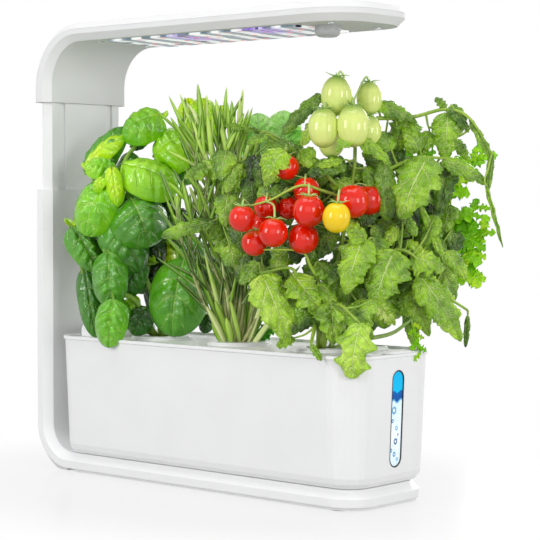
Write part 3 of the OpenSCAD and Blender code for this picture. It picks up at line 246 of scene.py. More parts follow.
def metal(name, colour, rough, along=(1, 1, 1)):
    n = material(name)
    brushed = n.noise(900, 3, n.stretched(along))
    shade = n.ramp(brushed, [(0.3, tuple(c * 0.9 for c in colour)), (0.7, colour)])
    return n.shade(Base_Color=shade, Metallic=1.0,
                   Roughness=n.step(brushed, 0.2, 0.8, rough - 0.05, rough + 0.1),
                   Normal=n.bump(brushed, 0.1, 0.00005, n.bevel(0.0002)))


def board(name, ground, track):
    """A circuit board: lacquer over tracks, with small bright pads."""
    n = material(name)
    place = n.place()
    bricks = {"Vector": place, "Scale": 260.0, "Color1": (0, 0, 0), "Color2": (0.1, 0.1, 0.1),
              "Mortar": (1, 1, 1), "Mortar Size": 0.03}
    tracks = n.add("TexBrick", bricks, offset=0.35).outputs["Color"]
    pads = n.step(n.cells(place, 420.0), 0.10, 0.16, 1.0, 0.0)
    shade = n.mix(pads, n.mix(tracks, ground, track), (0.7, 0.68, 0.6))
    return n.shade(Base_Color=shade, Roughness=0.35, Normal=n.bump(tracks, 0.3, 0.0001))


def emitter(name, colour, glow=0.4):
    """A surface-mounted emitter: a mottled, lit lens."""
    n = material(name)
    shade = n.mix(n.step(n.noise(2200), 0.35, 0.65), colour, tuple(min(1, c + 0.15) for c in colour))
    return n.shade(Base_Color=shade, Roughness=0.2, Emission_Color=shade, Emission_Strength=glow)


def lens_finish(name):
    """The lamp's clear lens: moulded cross ribs over rows of white, red and blue emitters, with painted
    highlight stripes along the ribs and a glow that is partly the lamp's own light and partly painted
    light.
    """
    n = material(name)
    x, y, _ = n.split(n.place())
    slant = y * 0.16 + x
    phase = n.noise(22) * 0.014 + slant
    wide_pitch, fine_pitch, ridge_pitch = 0.0185, 0.0071, 0.0044
    wave = (phase * (TURN / wide_pitch)).sine()
    fine = (phase * (TURN / fine_pitch)).sine()
    # Painted highlight: the grey-to-white stripes are the ribs' reflections, painted into the colour.
    shade = n.ramp(n.step(fine * 0.3 + wave, -0.75, 0.75), stops(
        (0.0, 120, 134, 146), (0.3, 158, 170, 180), (0.6, 206, 216, 220), (1.0, 250, 251, 252)))

    def spots(soft, *ellipses):
        """Soft ellipses, each written as its middle and half axes in millimetres."""
        return n.largest(*(
            n.step(n.length((x - cx * MM) / (rx * MM), (y - cy * MM) / (ry * MM)), 1 - soft, 1.0, 1.0, 0.0)
            for cx, cy, rx, ry in ellipses))

    def from_middle(place, start, pitch):
        """How far a point lies from the middle of its step in a row, in steps."""
        return abs(((place + start) / pitch).fraction() - 0.5)

    violet = spots(0.7, (-17, -10, 17, 30), (57, -18, 22, 28))
    shade = n.mix(violet * n.step(n.noise(150), 0.32, 0.55), shade, srgb(178, 142, 240))
    deep = spots(0.7, (-17, -14, 10, 22), (59, -20, 13, 24))
    shade = n.mix(deep * n.step(fine, -0.3, 0.6), shade, srgb(84, 48, 158))
    emitter_x = from_middle(x, 0.0813, 0.158 / 15)
    emitter_y = from_middle(y, 0.030, 0.012)
    dots = n.step(n.largest(emitter_x, emitter_y * 0.9), 0.14, 0.28, 1.0, 0.0)
    shade = n.mix(dots * n.step(n.noise(52, 1), 0.5, 0.56), shade, srgb(232, 120, 136))
    navy = spots(0.5, *((cx, cy, 6, 4.5) for cx, cy in (
        (-45, -25), (-13, -26), (-29, 12), (47, -26), (21, 18), (92, -25), (62, 22), (-78, -14),
        (-82, 6), (-60, 20))))
    shade = n.mix(navy, shade, srgb(30, 32, 58))
    ridge = (slant * (TURN / ridge_pitch)).sine()
    # The glow lifts the whole lens, stripes included: partly the lamp's own light, partly painted light
    # against the shade under the lamp head.
    return n.shade(Base_Color=shade, Roughness=0.3, IOR=1.3, Specular_IOR_Level=0.1,
                   Emission_Color=shade, Emission_Strength=0.4,
                   Normal=n.bump(ridge, 0.25, 0.0003, n.bevel(0.0005)))


def window_finish(name):
    """The level window: blue on top, a wavy waterline, then pale water with bubbles, one of them with a
    painted highlight, and a painted glow over the whole window.
    """
    n = material(name)
    low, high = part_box("window_glass")
    _, y, z = n.split(n.place())
    u = (y - low.y) / (high.y - low.y)
    v = (high.z - z) / (high.z - low.z)
    waves = n.noise(420, 3) * 0.03 + ((u * 9.0).sine() * 0.014 + v)
    shade = n.ramp(waves, stops(
        (0.0, 0, 176, 230), (0.225, 0, 184, 234), (0.235, 0, 96, 176), (0.31, 10, 80, 160),
        (0.325, 70, 160, 212), (0.345, 214, 238, 246), (0.7, 238, 247, 251), (1.0, 220, 238, 246)))

    def far(cu, cv):
        return n.length(u - cu, (v - cv) * 5.0)

    streak = n.noise(700, 4, distort=0.6)
    below = n.step(v, 0.33, 0.4)
    shade = n.mix(below * n.step(streak, 0.56, 0.7, 0.0, 0.5), shade, srgb(120, 192, 226))
    for cu, cv, radius, *colour in (
            (0.26, 0.41, 0.20, 70, 150, 200), (0.14, 0.52, 0.10, 40, 110, 170),
            (0.55, 0.60, 0.12, 90, 170, 214), (0.5, 0.74, 0.16, 16, 74, 140),
            (0.72, 0.67, 0.06, 30, 80, 140), (0.12, 0.83, 0.10, 60, 140, 196),
            (0.42, 0.875, 0.13, 50, 130, 190), (0.7, 0.93, 0.09, 90, 160, 206)):
        ring = abs(far(cu, cv) - radius * 0.75)
        shade = n.mix(n.step(ring, 0.02, radius * 0.5, 0.9, 0.0), shade, srgb(*colour))
    # Painted highlight: a white glint on the bubble at the upper left of the water.
    shade = n.mix(n.step(far(0.24, 0.405), 0.04, 0.1, 1.0, 0.0) * below, shade, (1, 1, 1))
    # Painted light: the window glows, though it is no lamp.
    return n.shade(Base_Color=shade, Roughness=0.1, IOR=1.4, Specular_IOR_Level=0.15,
                   Emission_Color=shade, Emission_Strength=0.22,
                   Normal=n.bump(streak, 0.04, 0.0002, n.bevel(0.0004)))


def water_finish(name):
    n = material(name)
    ripple = n.noise(70)
    shade = n.ramp(ripple, [(0.3, (0.35, 0.62, 0.72)), (0.7, (0.55, 0.8, 0.88))])
    return n.shade(Base_Color=shade, Roughness=0.03, IOR=1.333, Normal=n.bump(ripple, 0.2, 0.001))


def sponge_finish(name):
    n = material(name)
    pores = n.cells(n.place(), 700.0)
    shade = n.ramp(n.noise(240, 3), [(0.3, (0.06, 0.035, 0.02)), (0.7, (0.16, 0.1, 0.06))])
    # Painted shade: the pores are darkened to near black, where shade falls in the pits.
    shade = n.mix(n.step(pores, 0.15, 0.4, 0.7, 0.0), shade, (0.02, 0.012, 0.008))
    return n.shade(Base_Color=shade, Roughness=0.95, Normal=n.bump(pores, 0.8, 0.0005))


LOOKS = (
    (moulding, "white_plastic", (0.86, 0.863, 0.866), 0.33),
    (moulding, "white_satin", (0.845, 0.847, 0.85), 0.42),
    (moulding, "white_matte", (0.8, 0.802, 0.806), 0.7, 0.0006, 0.25, 0.012, 0.06),
    (metal, "steel", (0.62, 0.63, 0.65), 0.3),
    (moulding, "black_plastic", (0.016, 0.017, 0.019), 0.42, 0.0003, 0.5, 0.2),
    (moulding, "dark_rubber", (0.02, 0.02, 0.021), 0.75, 0.0004, 0.8, 0.25),
    (board, "circuit_board", (0.012, 0.14, 0.05), (0.03, 0.22, 0.09)),
    (board, "white_board", (0.8, 0.82, 0.82), (0.72, 0.75, 0.74)),
    (metal, "aluminium", (0.72, 0.73, 0.75), 0.38, (1, 12, 12)),
    (moulding, "ribbon", (0.46, 0.48, 0.5), 0.5, 0.0002),
    (emitter, "led_white", (0.95, 0.95, 0.86)),
    (emitter, "led_red", (0.85, 0.1, 0.18)),
    (emitter, "led_blue", (0.1, 0.14, 0.85)),
    (moulding, "grey_plastic", (0.46, 0.465, 0.475), 0.4, 0.0004),
    (metal, "copper", (0.5, 0.25, 0.12), 0.4, (1, 1, 20)),
    (lens_finish, "clear_cover"), (window_finish, "window"), (water_finish, "water"),
    (sponge_finish, "sponge"))
finishes = {name: make(name, *look) for make, name, *look in LOOKS}


# ---------------------------------------------------------------- plant materials
def leaf_finish(name, tones, vein, strength, pairs, gloss, network, net_share, blotch, bump, level,
                slope=0.26):
    """A leaf with a midrib, curved side veins and a fine network, drawn in its own length and width."""
    n = material(name)
    t, across = n.leaf_map()
    s = abs(across * 2.0 - 1.0)
    place = n.place()
    wander = n.noise(130, 2, place) - 0.5
    rib = n.step(s, 0.01, t * -0.05 + 0.085, 1.0, 0.0)
    along = t * pairs - s ** 1.25 * (slope * pairs) + wander * 0.9
    line = 0.5 - abs(along.fraction() - 0.5)
    side = n.step(line, 0.01, s * -0.07 + 0.11, 1.0, 0.0) * n.step(s, 0.6, 1.0, 1.0, 0.15)
    bent = wander * 0.004
    bend = n.add("CombineXYZ", {"X": bent, "Y": bent}).outputs[0]
    moved = n.add("VectorMath", {0: place, 1: bend}, operation="ADD").outputs[0]
    cells = n.cells(moved, network, "DISTANCE_TO_EDGE")
    net = n.step(cells, 0.01, 0.12, 1.0, 0.0) * n.step(n.noise(200, 2, place), 0.4, 0.6, 0.3, 1.0)
    tone = n.tone() + (n.noise(75, 3, place) - 0.5) * blotch
    shade = n.ramp(tone, tones)
    veins = n.largest(side * 0.85, net * net_share, rib)
    # Veins fade on low-toned leaves, among them the leaves whose low tone is painted shade.
    drawn = veins * n.step(tone, 0.05, 0.6, 0.25 * strength, strength)
    shade = n.mix(drawn, shade, n.mix(0.7, shade, vein))
    wrinkle = n.step(cells, 0.0, 0.45) * (1.1 * net_share) + n.noise(380, 2, place)
    wet = n.step(n.noise(160, 2, place), 0.35, 0.7, gloss, gloss + 0.12)
    return n.shade(Base_Color=shade, Roughness=wet, IOR=1.42, Specular_IOR_Level=level,
                   Normal=n.bump(wrinkle - veins * 0.9, bump, 0.0008))


def stem_finish(name, low, high, gloss=0.45, stripe=0.3):
    n = material(name)
    fibre = n.noise(700, 2, n.stretched((1, 1, 0.12)))
    share = fibre * stripe + n.noise(60) * (1 - stripe) + (n.tone() - 0.5)
    return n.shade(Base_Color=n.ramp(share, stops((0.3, *low), (0.7, *high))), Roughness=gloss,
                   Normal=n.bump(fibre, 0.4, 0.0003))


def fruit_finish(name, skin, shoulder, blush, stripes=0.0):
    """Smooth waxy skin, its colour shifting towards the stalk, with faint stripes on unripe fruit."""
    n = material(name)
    place = n.place()
    cloud = n.noise(110, 3, place)
    height = n.tone() + (cloud - 0.5) * 0.35
    shade = n.ramp(height, stops((0.0, *skin), (0.12 if stripes else 0.6, *skin), (0.9, *shoulder)))
    if stripes:
        around, _ = n.leaf_map()
        band = n.largest((around * (TURN * 14)).sine(), 0.0)
        shade = n.mix(band * (n.step(cloud, 0.4, 0.6) * stripes), shade, srgb(*blush))
    else:
        shade = n.mix(n.step(cloud, 0.5, 0.75, 0.0, 0.5), shade, srgb(*blush))
    freckle = n.noise(1600, 2, place)
    return n.shade(Base_Color=shade, Roughness=n.step(freckle, 0.2, 0.8, 0.07, 0.1), IOR=1.45,
                   Specular_IOR_Level=0.5, Normal=n.bump(freckle, 0.02, 0.0001))


def needle_finish():
    """A rosemary blade: green with a paler middle, whiter towards its foot, darker at its edges."""
    n = material("rosemary_needle")
    t, across = n.leaf_map()
    s = abs(across * 2.0 - 1.0)
    place = n.place()
    tone = n.tone() + (n.noise(90, 2, place) - 0.5) * 0.4
    shade = n.ramp(tone, stops((0.0, 20, 50, 4), (0.3, 76, 130, 14), (0.6, 152, 204, 50),
                               (0.82, 194, 232, 96), (1.0, 236, 248, 172)))
    fibre = n.noise(1100, 2, n.stretched((1, 1, 0.1), place))
    shade = n.mix(n.step(s, 0.0, 0.5, 1.0, 0.0) * (fibre * 0.5 + 0.3), shade, srgb(208, 222, 150))
    shade = n.mix(n.step(s, 0.62, 0.95, 0.0, 0.6), shade, srgb(48, 88, 14))
    shade = n.mix(n.step(t, 0.0, 0.3, 0.35, 0.0), shade, srgb(226, 226, 190))
    return n.shade(Base_Color=shade, Roughness=0.36, IOR=1.42, Specular_IOR_Level=0.25,
                   Normal=n.bump(fibre, 0.4, 0.0003))


# The near-black end of each leaf ramp is painted shade. The low tones of the leaves that stand for the
# shadow between leaves reach it.
basil_skin = leaf_finish(
    "basil_leaf", stops((0.0, 8, 34, 4), (0.25, 48, 114, 14), (0.45, 84, 160, 24), (0.62, 116, 196, 14),
                        (0.82, 166, 228, 6), (1.0, 226, 246, 0)),
    vein=srgb(216, 244, 130), strength=0.4, pairs=4.0, gloss=0.15, network=260.0, net_share=0.08,
    blotch=0.3, bump=0.7, level=0.8)
tomato_skin = leaf_finish(
    "tomato_leaf", stops((0.0, 8, 28, 0), (0.22, 56, 98, 4), (0.5, 122, 172, 16), (0.7, 160, 206, 40),
                         (0.88, 192, 228, 80), (1.0, 220, 242, 134)),
    vein=srgb(228, 244, 166), strength=0.85, pairs=5.0, gloss=0.24, network=250.0, net_share=0.45,
    blotch=1.1, bump=1.0, level=0.55, slope=0.36)
sage_skin = leaf_finish(
    "sage_leaf", stops((0.0, 40, 150, 16), (0.4, 124, 222, 56), (0.7, 176, 244, 118), (1.0, 220, 253, 180)),
    vein=srgb(226, 252, 220), strength=0.6, pairs=9.0, gloss=0.4, network=340.0, net_share=0.5,
    blotch=0.9, bump=1.0, level=0.2)
lettuce_skin = leaf_finish(
    "lettuce_leaf", stops((0.0, 48, 124, 0), (0.4, 108, 190, 0), (0.7, 150, 220, 10), (1.0, 204, 238, 50)),
    vein=srgb(224, 242, 140), strength=0.5, pairs=4.0, gloss=0.3, network=260.0, net_share=0.3,
    blotch=0.6, bump=0.6, level=0.2)
needle_skin = needle_finish()
basil_stem = stem_finish("basil_stem", (84, 132, 24), (158, 194, 76))
tomato_stem = stem_finish("tomato_stem", (96, 138, 26), (172, 200, 76))
woody_stem = stem_finish("rosemary_stem", (92, 116, 40), (216, 214, 150), 0.6, 0.5)
pale_stem = stem_finish("pale_stem", (120, 168, 70), (190, 214, 130))
red_skin = fruit_finish("fruit_red", (230, 30, 0), (242, 92, 0), (196, 6, 0))
yellow_skin = fruit_finish("fruit_yellow", (248, 208, 4), (240, 190, 10), (250, 218, 40))
green_skin = fruit_finish("fruit_green", (220, 234, 132), (92, 150, 6), (182, 212, 80), 0.2)


# ---------------------------------------------------------------- plant geometry
PODS = [(-58.1, 0.0), (15.9, 0.0), (89.9, 0.0)]
DECK_TOP = 96.6
TO_VIEW = np.array((0.42, -0.52, 0.6))
SKIN, STEM = 0, 1  # a plant's materials, in their order on the mesh
BROAD = 14  # millimetres: wider leaves are quilted and ruffled more
UNDERSIDE = 0.08  # how much paler a leaf's tone is underneath
RIM = 0.05 * MM  # a leaf's thickness at its edge


def unit(v):
    return v / max(np.linalg.norm(v), 1e-12)


def at(pod, point):
    """A place in metres from whole millimetres, counted from the middle of a pod."""
    return np.array((PODS[pod][0] + point[0], PODS[pod][1] + point[1], DECK_TOP + point[2])) * MM


def numbers(text):
    return [int(word) for word in text.split()]


def leaf_rows(pod, table):
    """A table's leaves. A row: the foot's x y z, the way from there to the tip, the width, any tone."""
    leaves = []
    for row in table.split(";"):
        x, y, z, dx, dy, dz, *rest = numbers(row)
        leaves.append((at(pod, (x, y, z)), at(pod, (x + dx, y + dy, z + dz)), *rest))
    return leaves


def stem_lines(pod, table):
    """The points of each stem. A row holds one stem, with commas between its points."""
    return [[at(pod, numbers(point)) for point in row.split(",")] for row in table.split(";")]


class Grown:
    """A mesh gathered sheet by sheet: points, faces, a leaf map, a tone and a material for each."""

    def __init__(self):
        self.points, self.faces, self.maps, self.tones, self.kinds = [], [], [], [], []
        self.count = 0

    def sheet(self, rows, uv, tone, kind, caps=True):
        """A tube of (n, m, 3) points, each row joined end to start, with its two mouths capped."""
        n, m = rows.shape[:2]
        base = self.count
        self.points.append(rows.reshape(-1, 3))
        self.maps.append(uv.reshape(-1, 2))
        self.tones.append(np.broadcast_to(tone, (n, m)).reshape(-1))
        self.count += n * m
        for i in range(n - 1):
            here, there = base + i * m, base + (i + 1) * m
            for j in range(m):
                k = (j + 1) % m
                self.faces.append((here + j, here + k, there + k, there + j))
        if caps:
            self.faces.append(tuple(range(base + m - 1, base - 1, -1)))
            self.faces.append(tuple(range(base + (n - 1) * m, base + n * m)))
        self.kinds += [kind] * (len(self.faces) - len(self.kinds))

    def mesh(self, name, materials):
        data = bpy.data.meshes.new(name)
        data.from_pydata(np.concatenate(self.points).tolist(), [], self.faces)
        for skin in materials:
            data.materials.append(skin)
        data.polygons.foreach_set("material_index", self.kinds)
        data.polygons.foreach_set("use_smooth", [True] * len(data.polygons))
        corner = np.zeros(len(data.loops), np.int32)
        data.loops.foreach_get("vertex_index", corner)
        layer = data.uv_layers.new(name="leaf")
        layer.data.foreach_set("uv", np.concatenate(self.maps)[corner].astype(np.float32).reshape(-1))
        tone = data.attributes.new("tone", "FLOAT", "POINT")
        tone.data.foreach_set("value", np.concatenate(self.tones).astype(np.float32))
        data.update()
        return add_object(name, data)


def outline(form, t):
    """Half width of a leaf along its length, 1 at its widest."""
    t = np.clip(t, 0, 1)
    if form == "oval":
        return (1 - np.abs(2 * t ** 0.86 - 1) ** 2.5) ** 0.58
    if form == "heart":
        return (1 - np.abs(2 * t ** 0.64 - 1) ** 2.0) ** 0.72 * (1 - 0.22 * t) * 1.08
    if form == "frill":
        return np.minimum(1, 0.3 + 1.1 * t) * (1 - t ** 7) ** 0.8
    return (1 - np.abs(2 * t ** 0.8 - 1) ** 3.0) ** 0.7


def leaf(grown, foot, tip, width, form, tone, seed, nu=26, nv=8, arch=0.5, cup=0.25, quilt=0.0, pairs=5,
         teeth=0.0, teeth_n=9, lobes=0.0, lobe_n=3, ruffle=0.0, ruffle_n=3, curl=0.0, twist=0.0,
         crease=0.25, thick=0.4, slope=0.26):
    """One blade from foot to tip, its face turned to the light, bulging between its veins."""
    rng = np.random.default_rng(seed)
    d = tip - foot
    side = unit(np.cross(d, TO_VIEW))
    up = unit(np.cross(side, d))
    t = np.linspace(0, 1, nu + 1)[:, None]
    s = np.linspace(-1, 1, 2 * nv + 1)[None, :]
    s = np.sign(s) * np.abs(s) ** 0.85
    a = np.abs(s)
    half = width / 2 * outline(form, t)
    edge = np.ones(np.broadcast_shapes(t.shape, s.shape))
    swing = (rng.uniform(0, 6), rng.uniform(0, 6))
    odd = np.where(s > 0, 1.0, 0.0)
    if lobes:
        wave = np.cos(TURN * (t * lobe_n + 0.5 + 0.13 * odd) + 0.5 * np.sin(5 * t + swing[0]))
        edge = edge * (1 - lobes * (0.5 + 0.5 * wave) * np.sin(np.pi * t) ** 0.5)
    if teeth:
        warp = t * teeth_n + 0.45 * np.sin(t * 11 + swing[0]) + odd * (0.4 + rng.uniform(0, 1))
        big = 0.65 + 0.35 * np.sin(warp * 1.7 + swing[1] + 2 * odd)
        edge = edge * (1 + teeth * big * (warp % 1.0 - 0.6))
    reach = half * (1 + (edge - 1) * a ** 3)
    mid = foot + t[..., None] * d + up * width * arch * (t * (1 - t))[..., None]
    lift = -half * cup * s ** 2
    lift = lift - np.exp(-(s / 0.09) ** 2) * crease * MM * np.sin(np.pi * np.clip(t, 0, 1)) ** 0.3
    if quilt:
        phase = t * pairs - a ** 1.25 * slope * pairs + 0.2 * np.sin(7 * t + swing[0] + 2 * odd)
        pillow = np.abs(np.sin(np.pi * phase)) ** 0.8 * np.clip(a * 3, 0, 1) * (1 - a ** 5)
        pocket = np.sin(t * 31 + s * 9 + seed) * np.sin(s * 13 - t * 8 + seed * 2) * 0.3
        lift = lift + quilt * MM * (pillow + pocket * (1 - a ** 4)) * np.sin(np.pi * t) ** 0.4
    if ruffle:
        wave = np.sin(TURN * ruffle_n * t + swing[0] + 1.3 * odd)
        wave = wave + 0.4 * np.sin(TURN * ruffle_n * 2.3 * t + swing[1])
        fade = np.sin(np.pi * np.clip(t * 0.96 + 0.02, 0, 1)) ** 0.5
        lift = lift + ruffle * MM * wave * a ** 2.2 * fade
    if curl:
        lift = lift - curl * width * np.clip(t - 0.55, 0, 1) ** 2 * 2
    if twist:
        lift = lift + reach * s * np.sin(twist * (t - 0.5))
    top = mid + side * (s * reach)[..., None] + up * lift[..., None]
    uv = np.stack(np.broadcast_arrays(t, (s + 1) / 2), axis=-1)
    shade = tone + rng.uniform(-0.04, 0.04) + 0.12 * (t - 0.5) * rng.uniform(-1, 1)
    shade = shade + np.zeros(top.shape[:2])
    body = thick * MM * (1 - a ** 4) * np.sin(np.pi * np.clip(t * 0.98 + 0.01, 0, 1)) ** 0.3 + RIM
    under = top - up * body[..., None]
    grown.sheet(np.concatenate([top, under[:, ::-1]], axis=1), np.concatenate([uv, uv[:, ::-1]], axis=1),
                np.concatenate([shade, shade[:, ::-1] + UNDERSIDE], axis=1), SKIN)


def smooth_line(points, steps=6):
    """A Catmull-Rom curve through the points."""
    p = np.asarray(points, float)
    p = np.vstack([2 * p[0] - p[1], p, 2 * p[-1] - p[-2]])
    out = []
    for a, b, c, d in zip(p, p[1:], p[2:], p[3:]):
        for u in (k / steps for k in range(steps)):
            out.append(0.5 * (2 * b + (c - a) * u + (2 * a - 5 * b + 4 * c - d) * u ** 2
                              + (3 * b - a - 3 * c + d) * u ** 3))
    out.append(p[-2])
    return np.array(out)


def tube(grown, line, r0, r1, kind=STEM, tone=0.5, sides=8, ribs=0.0):
    """A stem along a line of points, thinning from r0 to r1 in millimetres."""
    n = len(line)
    tangent = np.gradient(line, axis=0)
    tangent /= np.maximum(np.linalg.norm(tangent, axis=1, keepdims=True), 1e-12)
    ref = np.array((0.6586, -0.7525, 0.0))
    a = ref - tangent * (tangent @ ref)[:, None]
    a /= np.maximum(np.linalg.norm(a, axis=1, keepdims=True), 1e-12)
    b = np.cross(tangent, a)
    ang = np.linspace(0, TURN, sides, endpoint=False)
    r = (r0 + (r1 - r0) * np.linspace(0, 1, n))[:, None] * MM * (1 + ribs * np.cos(ang * sides / 2))
    round_it = np.cos(ang)[None, :, None] * a[:, None, :] + np.sin(ang)[None, :, None] * b[:, None, :]
    uv = np.stack(np.broadcast_arrays(np.linspace(0, 1, n)[:, None], (ang / TURN)[None, :]), axis=-1)
    grown.sheet(line[:, None, :] + r[..., None] * round_it, uv, tone, kind)


def tubes(grown, lines, r0, r1, **form):
    for line in lines:
        tube(grown, smooth_line(line), r0, r1, **form)


def nearest(point, spots):
    return spots[np.argmin(np.linalg.norm(spots - point, axis=1))]


def spots_of(lines):
    return np.vstack([smooth_line(line, 5) for line in lines])


def petiole(grown, foot, tip, spots, r):
    """The stalk that joins a leaf's foot to the nearest stem, sagging a little on its way."""
    hold = nearest(foot, spots)
    gap = np.linalg.norm(foot - hold)
    inside = foot + unit(tip - foot) * min(0.004, 0.2 * np.linalg.norm(tip - foot))
    if gap > 1.5 * MM:
        points = [hold, (hold + foot) / 2 + np.array((0, 0, -0.08 * gap)), foot, inside]
    else:
        points = [hold, foot + unit(tip - foot) * 1e-4, inside]
    tube(grown, smooth_line(points, 4), r * 1.1, r * 0.6, sides=6)


def plant_piece(name, grown, materials, node):
    """Adds a grown mesh in the place of a CAD node."""
    obj = grown.mesh(name, materials)
    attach(obj, "deck")
    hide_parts(node)
    return obj


# ---- basil. The last column of its leaves, as of the tomato's, is the tone in hundredths.
# The lowest tones, about 2 to 6, are painted shade: near-black leaves set behind the others, where shadow
# falls between leaves.
basil_leaves = leaf_rows(0, """
-7 7 160 -20 -20 -15 22 66; -52 -26 117 22 16 33 18 42; -48 -30 121 20 16 24 12 86;
-21 -24 121 -13 -17 1 15 72; -17 -23 124 34 20 -16 26 76; -9 0 130 25 19 14 27 78;
-9 8 134 12 8 -19 17 45; -24 -31 114 -6 -16 -38 27 64; -17 -30 118 5 -2 -23 10 80;
-8 -23 100 15 3 -32 34 36; -15 -21 103 23 17 0 11 52; -8 12 101 8 4 -31 17 20;
-24 -29 87 21 10 -36 25 32; -50 -41 80 17 9 -30 18 46; -17 -36 63 5 -3 -38 21 42;
-43 -35 50 10 1 -47 14 30; -4 -44 30 2 -7 -32 19 50; -10 -11 56 -7 -9 -24 16 26;
22 0 58 0 -13 -52 35 46; 16 12 73 7 -3 -19 17 42; -6 -10 23 -4 -9 -19 16 20;
23 23 17 -2 -2 -13 9 12; -16 -11 31 -6 -8 -22 11 74; -7 4 68 -5 -4 -15 9 90;
7 28 143 3 5 28 19 82; -30 -2 137 11 9 9 10 20; 7 28 144 -5 -3 27 17 92; 12 31 146 9 11 20 17 86;
-21 -11 101 -17 -9 -18 18 30; -12 0 108 11 15 -18 21 4; -28 -16 71 -11 -11 -6 13 20;
-11 -1 76 5 7 -22 14 6; -21 -13 57 -10 -8 -24 18 30; -33 -29 44 -8 -4 -21 14 14;
-27 -3 133 -5 -7 -22 14 34; -1 18 93 6 2 -23 14 4; -22 -19 94 -18 -5 -4 11 30;
-12 -13 50 1 4 -18 11 26; -4 18 134 8 7 -23 19 50; -20 -26 28 5 7 -20 13 50;
-23 4 124 11 7 -23 22 2; -40 -22 75 6 6 -21 16 4; -8 6 54 -4 -6 -27 14 2; 7 17 27 10 9 -17 11 14;
-14 -36 122 3 2 -26 10 86; -19 -38 115 -6 -5 -10 8 80; 6 10 71 14 13 -17 14 40;
3 21 134 10 9 -18 17 50; -25 -3 95 7 9 -22 20 2; -31 -9 61 7 7 -27 17 4; -40 -16 91 7 5 -21 19 2;
-15 11 74 6 5 -25 17 95; -21 5 65 -3 -3 -24 16 90; -6 19 88 8 6 -27 19 4; -17 7 44 6 2 -29 14 6""")
basil_stems = stem_lines(0, """
0 0 1, -4 -4 27, -11 -10 54, -18 -13 95, -21 -18 122, -19 -3 141, -9 8 157; 3 -3 1, 8 2 28,
13 3 55, 2 10 77, -6 11 101, -10 7 128, 7 28 143; -4 -2 1, -12 -16 28, -12 -37 35, -22 -35 63,
-30 -31 88, -44 -28 120; -3 3 1, -21 -21 13, -39 -31 27, -45 -37 54, -51 -39 80""")
BASIL_WIDER = {0: 1.32, 1: 1.3, 2: 1.35, 3: 1.2, 4: 1.25, 5: 1.4, 12: 1.22, 24: 1.3}
basil = Grown()
basil_spots = spots_of(basil_stems)
tubes(basil, basil_stems, 2.0, 1.1, sides=10, ribs=0.06)
for i, (foot, tip, width, tone) in enumerate(basil_leaves):
    broad = width > BROAD
    tip = tip + 0.05 * (tip - foot)
    leaf(basil, foot, tip, width * 1.08 * BASIL_WIDER.get(i, 1.14) * MM, "oval", tone / 100, 100 + i, nu=40,
         nv=12, arch=0.85, cup=0.7, quilt=2.9 if broad else 1.0, pairs=4, ruffle=0.7, ruffle_n=1.5,
         curl=0.22, crease=1.9 if broad else 0.6, twist=(-0.4, 0.35, 0.1, 0.2)[i % 4], thick=0.5)
    petiole(basil, foot, tip, basil_spots, 0.9)
# small new leaves round the growing tips
for i, line in enumerate(basil_stems):
    for k in range(4):
        w = k * TURN / 4 + i
        out = np.array((math.cos(w), math.sin(w), 0.75)) * (7 - 2 * (k // 2)) * MM
        leaf(basil, line[-1], line[-1] + out, (5 - k // 2) * MM, "oval", 0.85, 160 + 4 * i + k, nu=10, nv=5,
             cup=0.4, crease=0.2)
plant_piece("basil_foliage", basil, [basil_skin, basil_stem], "basil_plant")
